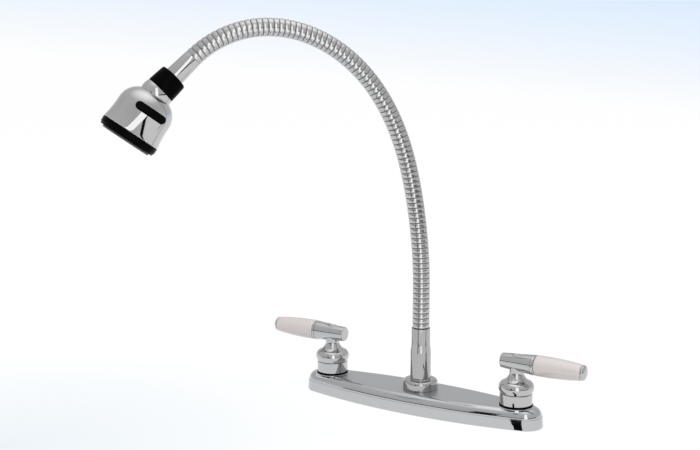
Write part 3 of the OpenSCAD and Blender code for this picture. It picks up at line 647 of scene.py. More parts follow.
@dataclass
class ValveTrim:
    """What shows of a valve under its handle: black ring and chromed skirt."""

    name: str
    x: float
    ring_radius: float = 15.7
    ring_bore: float = 12.5
    skirt_radius: float = 15.3
    skirt_wall: float = 1.5
    skirt_floor: float = 1.8
    levels: Levels = field(default_factory=Levels)

    def build(self) -> tuple[bpy.types.Object, bpy.types.Object]:
        """Makes the ring and the skirt.

        Returns:
            The black ring and the skirt.
        """
        place = Matrix.Translation((self.x * MM, 0, 0))
        low, high = self.levels.seat, self.levels.skirt
        ring = soften([(self.ring_bore, high), (self.ring_bore, low), (self.ring_radius - 0.1, low),
                       (self.ring_radius, (low + high) / 2), (self.ring_radius - 0.1, high),
                       (self.ring_bore, high)], 0.3, 3)
        black = Shop.turned(ring, f"{self.name}_seal_ring", Look.RUBBER, place)
        top = self.levels.skirt_top
        r = self.skirt_radius
        skirt = soften([(self.ring_bore, high), (r - 0.25, high), (r, high + 0.35), (r, top - 0.3),
                        (r - 0.35, top), (r - self.skirt_wall, top),
                        (r - self.skirt_wall, high + self.skirt_floor),
                        (self.ring_bore, high + self.skirt_floor), (self.ring_bore, high)], 0.3, 4)
        chrome = Shop.turned(skirt, f"{self.name}_skirt", Look.CHROME, place)
        return black, chrome


# Handles


class Side(Enum):
    """Which of the two handles."""

    HOT = -1
    COLD = 1


@dataclass
class LeverHandle:
    """One handle: bell, neck and barrel in chrome, porcelain grip, index cap and tip cap."""

    side: Side
    span: float = SPAN
    neck: float = 6.8
    bell: float = 16.8
    bell_foot: float = 15.65
    bell_height: float = 5.3
    bell_round: float = 6.5
    hollow: float = 10.0
    barrel_back: float = 15.0
    barrel_front: float = 19.5
    barrel_small: float = 7.1
    barrel_large: float = 9.6
    band: float = 2.6
    recess: float = 4.55
    cap_radius: float = 4.3
    cap_sink: float = 0.9
    disc_radius: float = 2.95
    reach: float = 68.5
    rod_bore: float = 3.1
    grip_full: float = 9.9
    grip_tip: float = 7.5
    tip: float = 4.2
    levels: Levels = field(default_factory=Levels)

    @property
    def name(self) -> str:
        """Prefix of this handle's nodes."""
        return self.side.name.lower()

    @property
    def body(self) -> str:
        """The body that this handle rides on."""
        return f"{self.name}_handle"

    def place(self) -> Matrix:
        """The valve axis, with the lever along +X."""
        turn = 0.0 if self.side is Side.COLD else math.pi
        return (Matrix.Translation((self.side.value * self.span / 2 * MM, 0, 0))
                @ Matrix.Rotation(turn, 4, "Z"))

    def along(self) -> Matrix:
        """The lever's axis, with +Z towards the tip."""
        return (self.place() @ Matrix.Translation((0, 0, self.levels.lever * MM))
                @ Matrix.Rotation(math.pi / 2, 4, "Y"))

    def bell_profile(self) -> Outline:
        """The bell and neck from the skirt's gap up into the barrel.

        Returns:
            Radius and height of each point.
        """
        foot, edge = self.levels.skirt_top + 0.3, self.bell_foot
        centre = (self.bell - self.bell_round, self.levels.skirt_top + self.bell_height)
        hollow_x = self.neck + self.hollow
        reach = self.bell_round + self.hollow
        rise = math.sqrt(reach ** 2 - (hollow_x - centre[0]) ** 2)
        meet = math.degrees(math.atan2(rise, hollow_x - centre[0]))
        points: Outline = [(0, foot), (edge - 0.95, foot), (edge - 0.45, foot + 0.12),
                           (edge - 0.15, foot + 0.45), (edge, foot + 1.0)]
        points += arc(centre, self.bell_round, -30, meet, 22)
        points += arc((hollow_x, centre[1] + rise), self.hollow, meet + 180, 180, 14)[1:]
        points += [(self.neck, self.levels.lever - 6.0), (self.neck + 0.1, self.levels.lever),
                   (0, self.levels.lever)]
        return points

    def barrel_profile(self) -> Outline:
        """The barrel from its blunt end to the porcelain, with its collar line.

        Returns:
            Radius of each point and its distance from the blunt end.
        """
        whole, blunt = self.barrel_back + self.barrel_front, 0.9
        line = whole - self.band

        def radius(z: float) -> float:
            """Radius of the barrel's cone at z from its blunt end."""
            return self.barrel_small + (self.barrel_large - self.barrel_small) * z / whole

        points = [(0, 0), (self.barrel_small - blunt, 0)]
        points += arc((self.barrel_small - blunt, blunt), blunt, -90, 0, 6)[1:]
        points += [(radius(whole * k / 6), whole * k / 6) for k in range(1, 5)]
        points += [(radius(line - 0.5), line - 0.5), (radius(whole) - 0.55, line - 0.3),
                   (radius(whole) - 0.55, line - 0.1), (radius(whole) + 0.02, line + 0.1),
                   (self.barrel_large, whole - 0.5), (self.barrel_large - 0.45, whole), (0, whole)]
        return points

    def build(self) -> None:
        """Makes the handle's pieces and lets them ride."""
        self._hub()
        self._grip()
        self._tip_cap()
        self._index_cap()

    def _hub(self) -> None:
        """The chromed hub: bell with neck, and barrel with the recess for the index cap."""
        bell = Shop.turned(self.bell_profile(), f"{self.name}_hub_bell", Look.CHROME,
                           self.place(), 112)
        fit(bell, self.body, "chrome", f"{self.name}_handle_hub")
        lying = self.along() @ Matrix.Translation((0, 0, -self.barrel_back * MM))
        barrel = Shop.turned(self.barrel_profile(), f"{self.name}_hub_barrel", Look.CHROME,
                             lying, 128)
        low, high = self.cap_top - 1.2, self.cap_top + 4
        recess: Outline = [(0, low), (self.recess, low), (self.recess, high), (0, high)]
        cutter = Shop.turned(recess, "cutter", Look.CHROME, self.place(), 64)
        Shop.cut(barrel, cutter)
        fit(barrel, self.body, "chrome", f"{self.name}_handle_hub")

    @property
    def cap_top(self) -> float:
        """Height of the index cap's top, below the barrel's highest line."""
        share = self.barrel_back / (self.barrel_back + self.barrel_front)
        return (self.levels.lever + self.barrel_small
                + (self.barrel_large - self.barrel_small) * share - self.cap_sink)

    def _grip(self) -> None:
        """The porcelain grip."""
        start, end = self.barrel_front + 0.2, self.reach - self.tip
        full = start + 7
        sag = self.grip_full - self.grip_tip
        curve = ((end - full) ** 2 + sag ** 2) / (2 * sag)
        points: Outline = [(self.rod_bore, start), (self.grip_full - 1.3, start)]
        points += [(self.grip_full - 0.85, start + 0.15), (self.grip_full - 0.5, start + 0.55)]
        for i in range(17):
            z = start + 1.6 + (end - start - 2.4) * i / 16
            points.append((self.grip_full - curve + math.sqrt(curve ** 2 - (z - full) ** 2), z))
        points += [(self.grip_tip - 0.25, end - 0.25), (self.grip_tip - 0.8, end),
                   (self.rod_bore, end), (self.rod_bore, start)]
        piece = Shop.turned(points, f"{self.name}_porcelain_grip", Look.PORCELAIN,
                            self.along(), sharp=50)
        fit(piece, self.body, "porcelain", f"{self.name}_lever_grip")

    def _tip_cap(self) -> None:
        """The chromed cap that holds the grip on its rod."""
        start, r = self.reach - self.tip + 0.1, self.grip_tip - 0.3
        depth = self.reach - start - 1.1
        points: Outline = [(0, start), (r - 0.15, start), (r, start + 0.15)]
        points += [(r * math.cos(a), start + 1.1 + depth * math.sin(a))
                   for a in (math.radians(7.5 * i) for i in range(12))]
        points += [(0, self.reach)]
        piece = Shop.turned(points, f"{self.name}_lever_cap", Look.CHROME, self.along(), 72, 60)
        fit(piece, self.body, "chrome", f"{self.name}_tip_cap")

    def _index_cap(self) -> None:
        """The index cap: chromed rim round a plain enamel disc."""
        top, r, flat = self.cap_top, self.cap_radius, self.disc_radius
        rim = soften([(0, top - 2.4), (r, top - 2.4), (r, top), (3.2, top), (3.0, top - 0.35),
                      (0, top - 0.35)], 0.3, 4)
        piece = Shop.turned(rim, f"{self.name}_index_rim", Look.CHROME, self.place(), 72)
        fit(piece, self.body, "chrome", f"{self.name}_index_cap")
        disc = soften([(0, top - 0.6), (flat, top - 0.6), (flat, top - 0.22), (0, top - 0.14)],
                      0.15, 3)
        piece = Shop.turned(disc, f"{self.name}_index_disc", Look.ENAMEL, self.place(), 64)
        fit(piece, self.body, "chrome")


# Spout foot


@dataclass
class SpoutFoot:
    """The round hub on the deck and the collar that the gooseneck stands in."""

    hub_radius: float = 17.0
    hub_round: float = 3.2
    collar_low: float = 10.0
    collar_high: float = 9.1
    wide: float = 27.0
    taper: float = 7.0
    height: float = 50.5
    levels: Levels = field(default_factory=Levels)

    def build(self) -> None:
        """Makes the hub and the collar."""
        base, top, r = self.levels.deck, self.levels.hub_top, self.hub_radius
        profile: Outline = [(0, base), (r - 0.3, base), (r, base + 0.3)]
        profile += arc((r - self.hub_round, top - self.hub_round), self.hub_round, 0, 90, 12)
        profile += [(0, top)]
        piece = Shop.turned(profile, "spout_hub_skin", Look.SATIN, steps=112)
        fit(piece, "base", "chrome", "spout_hub")

        z, low, high = self.levels.collar, self.collar_low, self.collar_high
        profile = soften([(0, z), (low, z), (low, z + self.wide), (high, z + self.wide + self.taper),
                          (high, z + self.height), (8.0, z + self.height), (7.7, z + self.height - 2),
                          (0, z + self.height - 2)], 0.5, 5, 4.0)
        piece = Shop.turned(profile, "spout_collar_skin", Look.SATIN, sharp=50)
        fit(piece, "spout_base", "chrome", "spout_collar")


# Gooseneck


@dataclass
class Jointed:
    """What follows the gooseneck, in pieces from the middle of one link to the next."""

    route: Route
    title: str
    slot: str
    first: float = 0.0
    tail: float = 0.0

    def stretch(self, first: float, last: float, name: str) -> bpy.types.Object:
        """Makes one stretch of it, which each kind does in its own way.

        Args:
            first: Where it starts, in millimetres from the collar.
            last: Where it ends.
            name: Name of the piece.

        Returns:
            The piece, which rides on nothing yet.
        """
        raise NotImplementedError

    def solids(self, *links: int) -> list[str]:
        """The solids that a stretch along these links stands for."""
        return [f"hose_link_{k}" for k in links]

    def bend(self, bm: bmesh.types.BMesh) -> None:
        """Lays a straight mesh along Z onto the route."""
        for vert in bm.verts:
            vert.co = self.route.at(vert.co.z / MM) @ Vector((vert.co.x, vert.co.y, 0))

    def build(self) -> None:
        """Makes the first half link, a stretch over each joint and the last half link."""
        link, last = self.route.link, len(self.route.bends) - 1
        fit(self.stretch(self.first, link / 2, f"{self.title}_foot"), "spout_base", self.slot,
            *self.solids(0))
        for k in range(1, last + 1):
            start, end = k * link - link / 2, k * link + link / 2
            piece = self.stretch(start, end, f"{self.title}_run_{k}")
            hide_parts(*self.solids(k - 1, k))
            low = "spout_base" if k == 1 else f"hose_{k - 1}"
            a, b = (self.route.at(s).translation for s in (start + 1.0, end - 1.0))
            tuple(a)
            tuple(b)
            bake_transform(piece)
            LOG.info("%s bends from %s to hose_%d", piece.name, low, k)
        whole = self.route.length
        fit(self.stretch(whole - link / 2, whole + self.tail, f"{self.title}_end"),
            f"hose_{last}", self.slot, *self.solids(last))


@dataclass
class Gooseneck(Jointed):
    """The ringed strip."""

    title: str = "gooseneck"
    slot: str = "steel_rings"
    pitch: float = 4.95
    crest: float = 8.42
    heel: float = 8.12
    painted_groove_shade: float = 7.3
    painted_groove_shade_width: float = 0.8
    depth: float = 1.2
    sides: int = 56

    def ring(self, z: float) -> Outline:
        """One ring of the strip, which starts at height z.

        Args:
            z: Height of the ring's lower end on the straight hose.

        Returns:
            Its profile: groove, crest at the lower edge, slope to the heel.
        """
        g = self.painted_groove_shade_width
        return [(self.painted_groove_shade, z + 0.05), (self.painted_groove_shade, z + g * 0.8), (self.crest - 0.25, z + g),
                (self.crest, z + g + 0.3), (self.crest - 0.02, z + g + 0.7),
                ((self.crest + self.heel) / 2, z + self.pitch * 0.55),
                (self.heel, z + self.pitch - 0.25), (self.heel - 0.15, z + self.pitch - 0.04)]

    def in_groove(self, face: bmesh.types.BMFace) -> bool:
        """Whether a face of the straight strip lies in a groove."""
        middle = face.calc_center_median()
        return math.hypot(middle.x, middle.y) < (self.painted_groove_shade + 0.3) * MM

    def stretch(self, first: float, last: float, name: str) -> bpy.types.Object:
        """A stretch of the strip, bent onto the route.

        Args:
            first: Where it starts, in millimetres from the collar.
            last: Where it ends.
            name: Name of the piece.

        Returns:
            The piece, with painted shade in its grooves: a darker grey material there.
        """
        bore = self.painted_groove_shade - self.depth
        profile: Outline = [(bore, first)]
        for i in range(round((last - first) / self.pitch)):
            profile += self.ring(first + i * self.pitch)
        profile += [(self.painted_groove_shade, last), (bore, last), (bore, first)]
        bm = Shop.spun(profile, self.sides)
        # Faces in a groove get the darker material: painted shade between the rings.
        for face in bm.faces:
            face.material_index = int(self.in_groove(face))
        self.bend(bm)
        piece = Shop.deliver(bm, name, Look.RINGS, sharp=42)
        piece.data.materials.append(Look.PAINTED_GROOVE_SHADE.material())
        return piece


@dataclass
class InnerHose(Jointed):
    """The rubber hose inside the gooseneck."""

    title: str = "inner_hose"
    slot: str = "rubber"
    first: float = -8.0
    tail: float = 14.0
    radius: float = 4.36
    wall: float = 1.36
    step: float = 3.3
    sides: int = 20

    def solids(self, *links: int) -> list[str]:
        """The one solid that every stretch stands for."""
        return ["inner_hose"]

    def stretch(self, first: float, last: float, name: str) -> bpy.types.Object:
        """A stretch of the tube, bent onto the route.

        Args:
            first: Where it starts, in millimetres from the collar.
            last: Where it ends.
            name: Name of the piece.

        Returns:
            The piece.
        """
        steps = max(2, round((last - first) / self.step))
        heights = [first + (last - first) * i / steps for i in range(steps + 1)]
        bore = self.radius - self.wall
        profile = [(self.radius, z) for z in heights] + [(bore, z) for z in reversed(heights)]
        bm = Shop.spun(profile + profile[:1], self.sides)
        self.bend(bm)
        return Shop.deliver(bm, name, Look.RUBBER)


# Spray head


@dataclass
class SprayHead:
    """Ferrule, black nut, dome, bell, finger grips and black face ring."""

    route: Route
    ferrule: float = 23.0
    ferrule_low: float = 8.2
    ferrule_high: float = 9.1
    nut: float = 17.5
    nut_radius: float = 13.8
    dome: float = 14.5
    dome_rim: float = 5.0
    drop: float = 4.7
    tilt: float = 11.5
    mouth: float = 2.0
    mouth_radius: float = 14.8
    bell: float = 37.8
    bell_radius: float = 25.6
    foot_radius: float = 27.4
    face: float = 7.5
    plate: float = 23.3
    grip_span: float = 22.8
    grip_width: float = 8.3
    grip_drop: float = 14.6
    grip_turn: float = -3.5

    @property
    def end(self) -> Matrix:
        """The gooseneck's end, with +Z along it."""
        return self.route.at(self.route.length)

    @property
    def ball(self) -> Matrix:
        """The ball's centre, with +Z towards the spray."""
        return (self.end @ Matrix.Translation((0, 0, (self.ferrule + self.nut + self.drop) * MM))
                @ Matrix.Rotation(math.radians(self.tilt), 4, "Y"))

    def outside(self, t: float) -> float:
        """The bell's shape: a round shoulder, a straight band and a flared foot.

        Args:
            t: Distance below its mouth.

        Returns:
            Its radius there.
        """
        band, shoulder, start = 17.0, 18.9, 20.0
        if t < band:
            return self.bell_radius - shoulder + math.sqrt(shoulder ** 2 - (band - t) ** 2)
        if t < start:
            return self.bell_radius
        out = self.foot_radius - self.bell_radius
        curve = ((self.bell - start) ** 2 + out ** 2) / (2 * out)
        return self.bell_radius + curve - math.sqrt(curve ** 2 - (t - start) ** 2)

    def build(self) -> None:
        """Makes the head's pieces and lets them ride."""
        self._ferrule()
        self._nut()
        self._dome()
        self._bell()
        self._grips()
        self._face_ring()

    def _ferrule(self) -> None:
        """The chromed sleeve at the gooseneck's end."""
        low, high = self.ferrule_low, self.ferrule_high
        profile = soften([(0, 0), (low, 0), (low + 0.25, 4), (high, self.ferrule),
                          (0, self.ferrule)], 0.45, 4)
        piece = Shop.turned(profile, "end_ferrule_skin", Look.CHROME, self.end)
        fit(piece, "hose_10", "chrome", "end_ferrule")

    def _nut(self) -> None:
        """The black collar nut."""
        z0, z1, r = self.ferrule, self.ferrule + self.nut, self.nut_radius
        profile: Outline = [(0, z0), (r - 3.0, z0)]
        profile += arc((r - 2.8, z0 + 2.0), 2.0, -90, 0, 8)[1:]
        profile += [(r - 0.3, z0 + self.nut * 0.55), (r, z1 - 0.5), (r - 0.2, z1 - 0.1),
                    (r - 0.5, z1), (0, z1)]
        piece = Shop.turned(profile, "collar_nut_skin", Look.BLACK, self.end)
        fit(piece, "hose_10", "black_plastic", "collar_nut")

    def _dome(self) -> None:
        """The chromed ball cover between nut and bell."""
        place = self.end @ Matrix.Translation((0, 0, (self.ferrule + self.nut + self.drop) * MM))
        top = math.degrees(math.asin(self.drop / self.dome))
        low = math.degrees(math.asin(self.dome_rim / self.dome))
        profile: Outline = [(0, -self.drop)]
        profile += arc((0, 0), self.dome, -top, low, 20)
        profile += [(12.4, self.dome_rim), (11.9, 0.0), (0, -1.5)]
        piece = Shop.turned(profile, "dome_cover_skin", Look.CHROME, place, 112)
        fit(piece, "hose_10", "chrome", "dome_cover")

    def _bell(self) -> None:
        """The chromed bell, a shell open at its mouth and at its foot."""
        m, r = self.mouth, self.mouth_radius
        profile: Outline = [(r, m), (r + 0.25, m - 0.05), (r + 0.55, m + 0.15)]
        steps = [0.9, 1.3, 1.8, 2.4, 3.1, 4, 5, 6.2, 7.5, 9, 10.5, 12, 13.5, 15, 16, 17, 18.5, 20,
                 22, 24, 26, 28, 30, 32, 34, 35.5, 36.8]
        profile += [(self.outside(t), m + t) for t in steps]
        profile += [(self.foot_radius, m + self.bell - 0.3),
                    (self.foot_radius - 0.25, m + self.bell), (23.9, m + self.bell),
                    (23.8, 20.0), (r + 0.4, 17.0), (r, 15.0)]
        profile.append(profile[0])
        piece = Shop.turned(profile, "head_bell_skin", Look.CHROME, self.ball, 144, 50)
        fit(piece, "spray_head", "chrome", "head_bell")

    def _grips(self) -> None:
        """Two black finger grips that follow the bell's surface."""
        half, r = self.grip_span / 2, self.grip_width / 2
        proud, rolled, rim, sunk = 0.16, 0.5, 0.6, -1.6
        parts = []
        for side in (0, 180):
            bm = bmesh.new()
            bmesh.ops.create_grid(bm, x_segments=60, y_segments=12, size=1.0)
            outer = set(bm.verts)
            bmesh.ops.extrude_face_region(bm, geom=list(bm.faces))
            for vert in bm.verts:
                x = (half + r) * math.sin(vert.co.x * math.pi / 2)
                end = max(0.0, abs(x) - half)
                y = math.sqrt(max(0.0, r * r - end * end)) * math.sin(vert.co.y * math.pi / 2)
                edge = max(0.0, r - math.hypot(end, y))
                rise = proud - rolled * max(0.0, 1 - edge / rim) ** 2 if vert in outer else sunk
                radius = self.outside(self.grip_drop + y) + rise
                vert.co = Vector((x, math.sqrt(radius ** 2 - x * x),
                                  self.mouth + self.grip_drop + y)) * MM
            bmesh.ops.remove_doubles(bm, verts=bm.verts, dist=10 * WELD)
            bmesh.ops.recalc_face_normals(bm, faces=bm.faces)
            turn = math.radians(side + self.grip_turn)
            parts.append((bm, self.ball @ Matrix.Rotation(turn, 4, "Z")))
        piece = Shop.deliver(Shop.join(parts), "finger_grips", Look.RUBBER, sharp=60)
        fit(piece, "spray_head", "rubber", "head_grips")

    def _face_ring(self) -> None:
        """The black ring round the spray face."""
        low, r = self.mouth + self.bell + 0.05, self.foot_radius
        top, bore = low + self.face, self.plate + 0.05
        profile = soften([(bore, low + 0.2), (r - 0.4, low), (r - 0.05, low + 0.6),
                          (r - 0.2, top - 2.2), (r - 0.9, top - 1.4), (r - 1.2, top), (bore, top),
                          (bore, low + 0.2)], 0.4, 4)
        piece = Shop.turned(profile, "face_ring_skin", Look.BLACK, self.ball, 120)
        fit(piece, "spray_face", "black_plastic", "face_ring")


# Solids that stay


class KeptSolids:
    """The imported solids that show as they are, each with its finish."""

    looks: dict[str, Look] = {
        "deck_gasket": Look.FOAM,
        "hot_valve_body": Look.BRASS,
        "cold_valve_body": Look.BRASS,
        "spout_body": Look.BRASS,
        "crossover_tubes": Look.COPPER,
        "shank_nuts": Look.BRASS,
        "cartridges": Look.WHITE_PLASTIC,
        "cartridge_nuts": Look.BRASS,
        "fixed_discs": Look.DISC,
        "seat_seals": Look.RUBBER,
        "thrust_washer": Look.WHITE_PLASTIC,
        "spout_post": Look.BRASS,
        "spout_o_rings": Look.RUBBER,
        "spout_retaining_ring": Look.BRASS,
        "swivel_ball": Look.BRASS,
        "socket_body": Look.WHITE_PLASTIC,
        "socket_nut": Look.WHITE_PLASTIC,
        "ball_seal": Look.RUBBER,
        "flow_divider": Look.WHITE_PLASTIC,
        "spray_plate": Look.GREY_PLASTIC,
        "aerator_screen": Look.STEEL,
    }
    handle_looks: dict[str, Look] = {
        "moving_disc": Look.DISC,
        "stem": Look.BRASS,
        "handle_screw": Look.STEEL,
        "lever_rod": Look.STEEL,
    }

    def dress(self) -> None:
        """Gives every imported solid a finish."""
        wanted = dict(self.looks)
        for side in Side:
            for part, look in self.handle_looks.items():
                wanted[f"{side.name.lower()}_{part}"] = look
        for name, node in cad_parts.items():
            look = wanted.get(name, Look.CHROME)
            for index in range(len(node.material_slots)):
                node.material_slots[index].material = look.material()


# Studio


BLACK: Color = (0.006, 0.006, 0.008)
WHITE: Color = (1.0, 1.0, 1.0)


@dataclass(frozen=True)
class Card:
    """A flat card that only mirroring surfaces see."""

    name: str
    panels: list[list[Place]]
    color: Color
    strength: float = 1.0

    def build(self) -> bpy.types.NodeTree:
        """Makes the card.

        Returns:
            Its node tree.
        """
        bm = bmesh.new()
        for panel in self.panels:
            bm.faces.new([bm.verts.new(corner) for corner in panel])
        mesh = bpy.data.meshes.new(self.name)
        bm.to_mesh(mesh)
        bm.free()
        card = bpy.data.objects.new(self.name, mesh)
        bpy.context.scene.collection.objects.link(card)
        material = bpy.data.materials.new(self.name)
        material.use_nodes = True
        tree = material.node_tree
        tree.nodes.clear()
        glow = shader_node(tree, "Emission", {"Color": (*self.color, 1.0),
                                              "Strength": self.strength})
        shader_node(tree, "OutputMaterial", {"Surface": glow.outputs["Emission"]})
        mesh.materials.append(material)
        card.visible_camera = False
        card.visible_diffuse = False
        card.visible_shadow = False
        card.visible_transmission = False
        card.visible_volume_scatter = False
        return tree


@dataclass(frozen=True)
class Wedge:
    """A card that lies on the floor as a wedge and stands up at its far end.

    Turn and width are degrees seen from the spout's foot, and turn counts to the right of the
    camera. Near and far are the distances where it starts and where it stands up.
    """

    name: str
    turn: float
    width: float
    near: float
    far: float
    height: float
    color: Color
    strength: float = 1.0
    lift: float = 0.0015

    def build(self, heading: float) -> None:
        """Makes the card.

        Args:
            heading: Where the camera stands, in radians to the right of the user's side.
        """
        sides = []
        for edge in (-0.5, 0.5):
            a = heading + math.radians(self.turn + edge * self.width)
            x, y = math.sin(a), -math.cos(a)
            sides.append([(x * self.near, y * self.near, self.lift),
                          (x * self.far, y * self.far, self.lift),
                          (x * self.far, y * self.far, self.height)])
        left, right = sides
        panels = [[left[k], left[k + 1], right[k + 1], right[k]] for k in (0, 1)]
        Card(self.name, panels, self.color, self.strength).build()


@dataclass(frozen=True)
class Wall:
    """A low wall round the mixer, between two headings in degrees from the user's side."""

    first: float
    last: float
    radius: float
    low: float
    high: float
    steps: int = 24

    def panels(self) -> list[list[Place]]:
        """The wall as flat panels, from left to right.

        Returns:
            The four corners of each panel.
        """
        turns = [math.radians(self.first + (self.last - self.first) * i / self.steps)
                 for i in range(self.steps + 1)]
        foot = [(self.radius * math.sin(a), -self.radius * math.cos(a)) for a in turns]
        return [[(*a, self.low), (*b, self.low), (*b, self.high), (*a, self.high)]
                for a, b in zip(foot, foot[1:])]


@dataclass(frozen=True)
class Lamp:
    """A large soft lamp that the chrome doesn't mirror."""

    name: str
    spot: Place
    size: float
    power: float
    aim: Place = (-0.02, -0.05, 0.15)

    def build(self) -> None:
        """Hangs the lamp."""
        data = bpy.data.lights.new(self.name, "AREA")
        data.shape = "SQUARE"
        data.size = self.size
        data.energy = self.power
        lamp = bpy.data.objects.new(self.name, data)
        lamp.location = self.spot
        way = Vector(self.aim) - Vector(self.spot)
        lamp.rotation_euler = way.to_track_quat("-Z", "Y").to_euler()
        lamp.visible_glossy = False
        bpy.context.scene.collection.objects.link(lamp)


@dataclass
class Studio:
    """Pale floor, soft light and the photograph's camera."""

    azimuth: float = 31.873
    pitch: float = 10.111
    eye: Place = (566.08, -1040.30, 390.81)
    lens: float = 64.79
    sensor: float = 36.0
    clip: float = 5000.0
    horizon: float = 4000.0
    floor_color: float = 0.80
    floor_glow: float = 1.06
    floor_share: float = 0.86
    far_tint: Color = (0.70, 0.835, 1.0)
    far_side: float = 1.04
    far_share: float = 0.72
    far_start: float = 4.43
    patch: Place = (-0.258, -0.296, 0.0)
    patch_reach: float = 0.36
    patch_tint: Color = (0.80, 0.86, 0.90)
    sky_tint: Color = (0.80, 0.89, 1.0)

    def build(self) -> None:
        """Sets up the whole studio."""
        self._camera()
        self._world()
        self._floor()
        Lamp("lamp_over", (-0.3, -0.6, 1.7), size=1.6, power=14.0).build()
        Lamp("lamp_right", (1.5, -0.9, 1.0), size=1.2, power=7.0).build()
        self._cards()
        bpy.context.scene.view_settings.view_transform = "Standard"

    def _camera(self) -> None:
        """The camera of the photograph."""
        data = bpy.data.cameras.new("photo_camera")
        data.lens = self.lens
        data.sensor_width = self.sensor
        data.clip_end = self.clip
        camera = bpy.data.objects.new("photo_camera", data)
        camera.location = Vector(self.eye) * MM
        camera.rotation_euler = (math.radians(90 - self.pitch), 0, math.radians(self.azimuth))
        bpy.context.scene.collection.objects.link(camera)
        bpy.context.scene.camera = camera

    def _world(self) -> None:
        """A light tent of even grey, a little darker half way up, and a blue sky for the camera."""
        world = bpy.data.worlds.new("light_tent")
        bpy.context.scene.world = world
        world.use_nodes = True
        tree = world.node_tree
        tree.nodes.clear()
        where = shader_node(tree, "TexCoord").outputs["Generated"]
        split = shader_node(tree, "SeparateXYZ", {"Vector": where})
        ramp = shader_node(tree, "ValToRGB", {"Fac": split.outputs["Z"]})
        low, high = ramp.color_ramp.elements
        low.color = (0.78, 0.78, 0.78, 1)
        high.color = (0.76, 0.76, 0.76, 1)
        ramp.color_ramp.elements.new(0.4).color = (0.64, 0.645, 0.65, 1)
        ray = shader_node(tree, "LightPath").outputs
        color = self._tint(tree, ramp.outputs["Color"], self.sky_tint, ray["Is Camera Ray"])
        tent = shader_node(tree, "Background", {"Color": color, "Strength": 1.0})
        shader_node(tree, "OutputWorld", {"Surface": tent.outputs["Background"]})

    def _floor(self) -> None:
        """A plain pale floor that runs to the horizon and keeps a soft shadow."""
        bm = bmesh.new()
        bmesh.ops.create_grid(bm, x_segments=1, y_segments=1, size=self.horizon)
        mesh = bpy.data.meshes.new("floor")
        bm.to_mesh(mesh)
        bm.free()
        floor = bpy.data.objects.new("floor", mesh)
        bpy.context.scene.collection.objects.link(floor)
        material = bpy.data.materials.new("pale_floor")
        material.use_nodes = True
        tree = material.node_tree
        tree.nodes.clear()
        ray = shader_node(tree, "LightPath").outputs
        seen = self._math(tree, "MAXIMUM", ray["Is Camera Ray"], ray["Is Glossy Ray"])
        seen = self._math(tree, "MAXIMUM", seen, ray["Is Transmission Ray"])
        share = self._math(tree, "MULTIPLY", seen, self.floor_share)
        where = shader_node(tree, "TexCoord").outputs["Object"]
        color = self._tint(tree, (*WHITE, 1.0), self.far_tint, self._far(tree, where))
        color = self._tint(tree, color, self.patch_tint, self._near_patch(tree, where))
        glow = shader_node(tree, "Emission", {"Color": color, "Strength": self.floor_glow})
        matte = shader_node(tree, "BsdfDiffuse", {"Color": (*[self.floor_color] * 3, 1.0)})
        mix = shader_node(tree, "MixShader", {"Fac": share, 1: matte.outputs["BSDF"],
                                              2: glow.outputs["Emission"]})
        shader_node(tree, "OutputMaterial", {"Surface": mix.outputs["Shader"]})
        mesh.materials.append(material)

    def _far(self, tree: bpy.types.NodeTree, where: bpy.types.NodeSocket) -> bpy.types.NodeSocket:
        """How far a point of the floor is towards the horizon, more so on the right.

        Args:
            tree: The floor's node tree.
            where: The point on the floor.

        Returns:
            0 near the mixer, 1 far out on the right.
        """
        turn = math.radians(self.azimuth)
        reach = self._distance(tree, where, (self.eye[0] * MM, self.eye[1] * MM, 0.0))
        side = shader_node(tree, "VectorMath", {0: where, 1: (math.cos(turn), math.sin(turn), 0.0)},
                           operation="DOT_PRODUCT").outputs["Value"]
        slant = self._math(tree, "DIVIDE", side, reach)
        weight = self._math(tree, "MULTIPLY_ADD", slant, self.far_side, self.far_share)
        near = self._math(tree, "DIVIDE", self.far_start, reach)
        away = self._math(tree, "SUBTRACT", weight, near)
        return self._math(tree, "MAXIMUM", away, 0.0)

    def _near_patch(self, tree: bpy.types.NodeTree,
                    where: bpy.types.NodeSocket) -> bpy.types.NodeSocket:
        """The pale patch of floor in the picture's lower left corner.

        Args:
            tree: The floor's node tree.
            where: The point on the floor.

        Returns:
            1 in its middle, 0 outside it.
        """
        reach = self._distance(tree, where, self.patch)
        share = self._math(tree, "DIVIDE", reach, self.patch_reach)
        return self._math(tree, "MAXIMUM", self._math(tree, "SUBTRACT", 1.0, share), 0.0)

    @staticmethod
    def _distance(tree: bpy.types.NodeTree, where: bpy.types.NodeSocket,
                  spot: Place) -> bpy.types.NodeSocket:
        """Distance of a point from a fixed spot."""
        return shader_node(tree, "VectorMath", {0: where, 1: spot},
                           operation="DISTANCE").outputs["Value"]

    @staticmethod
    def _math(tree: bpy.types.NodeTree, operation: str,
              *values: bpy.types.NodeSocket | float) -> bpy.types.NodeSocket:
        """One sum in a node tree, of sockets or plain numbers."""
        return shader_node(tree, "Math", dict(enumerate(values)), operation=operation).outputs[0]

    @staticmethod
    def _tint(tree: bpy.types.NodeTree, plain: bpy.types.NodeSocket | tuple[float, ...],
              tinted: Color, share: bpy.types.NodeSocket) -> bpy.types.NodeSocket:
        """A colour that goes over into another by a share from 0 to 1."""
        return shader_node(tree, "Mix", {0: share, 6: plain, 7: (*tinted, 1.0)},
                           data_type="RGBA").outputs[2]

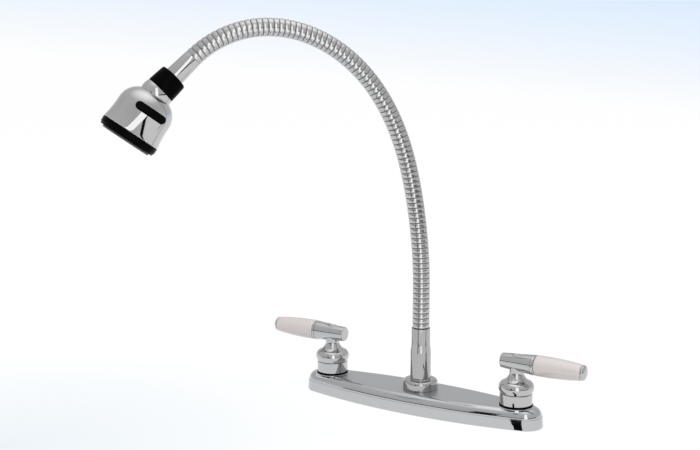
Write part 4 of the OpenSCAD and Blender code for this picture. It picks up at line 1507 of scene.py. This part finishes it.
    def _cards(self) -> None:
        """Black flags and white strips round the mixer, for the chrome to mirror."""
        heading = math.atan2(self.eye[0], -self.eye[1])
        Wedge("flag_left", turn=-32.0, width=8.0, near=0.25, far=1.4, height=0.75,
              color=BLACK).build(heading)
        Wedge("flag_end", turn=-26.0, width=20.0, near=0.225, far=0.262, height=0.002,
              color=BLACK).build(heading)
        Wedge("strip_front", turn=6.0, width=20.0, near=0.5, far=1.4, height=1.9, color=WHITE,
              strength=1.75).build(heading)
        Card("flag_floor", [[(0.1085, -0.015, 0.001), (0.116, -0.015, 0.001),
                             (0.121, -0.086, 0.001), (0.104, -0.086, 0.001)]], BLACK).build()
        self._roof(height=1.9, half=2.0, reach=1.7, middle=1.55, edge=0.71)
        Card("skyline", Wall(first=-48.0, last=105.0, radius=3.4, low=0.03, high=0.46).panels(),
             BLACK).build()

    def _roof(self, height: float, half: float, reach: float, middle: float,
              edge: float) -> None:
        """A white card overhead that is brightest above the mixer's back.

        Args:
            height: Its height above the floor.
            half: Half its side.
            reach: Distance from its bright middle at which it is darkest.
            middle: Strength in the middle.
            edge: Strength from there on.
        """
        square = [(-half, -half, height), (half, -half, height), (half, half, height),
                  (-half, half, height)]
        tree = Card("roof", [square], WHITE).build()
        where = shader_node(tree, "TexCoord").outputs["Object"]
        fall = shader_node(tree, "MapRange", {
            "Value": self._distance(tree, where, (0.0, 0.2, height)),
            "From Max": reach,
            "To Min": middle,
            "To Max": edge,
        }, interpolation_type="SMOOTHSTEP")
        tree.links.new(fall.outputs["Result"], tree.nodes["Emission"].inputs["Strength"])


# Main


def main() -> None:
    """Builds the dressed mixer and its studio."""
    logging.basicConfig(level=logging.INFO, format="%(name)s: %(message)s")
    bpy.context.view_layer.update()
    levels = Levels()
    route = Route()
    KeptSolids().dress()
    DeckPlate(levels=levels).build()
    rings, skirts = zip(*(ValveTrim(side.name.lower(), side.value * SPAN / 2, levels=levels).build()
                          for side in Side))
    for ring in rings:
        fit(ring, "base", "rubber", "seal_rings")
    for skirt in skirts:
        fit(skirt, "base", "chrome", "valve_skirts")
    for side in Side:
        LeverHandle(side, levels=levels).build()
    SpoutFoot(levels=levels).build()
    Gooseneck(route).build()
    InnerHose(route).build()
    SprayHead(route).build()
    Studio().build()


if __name__ == "__main__":
    main()
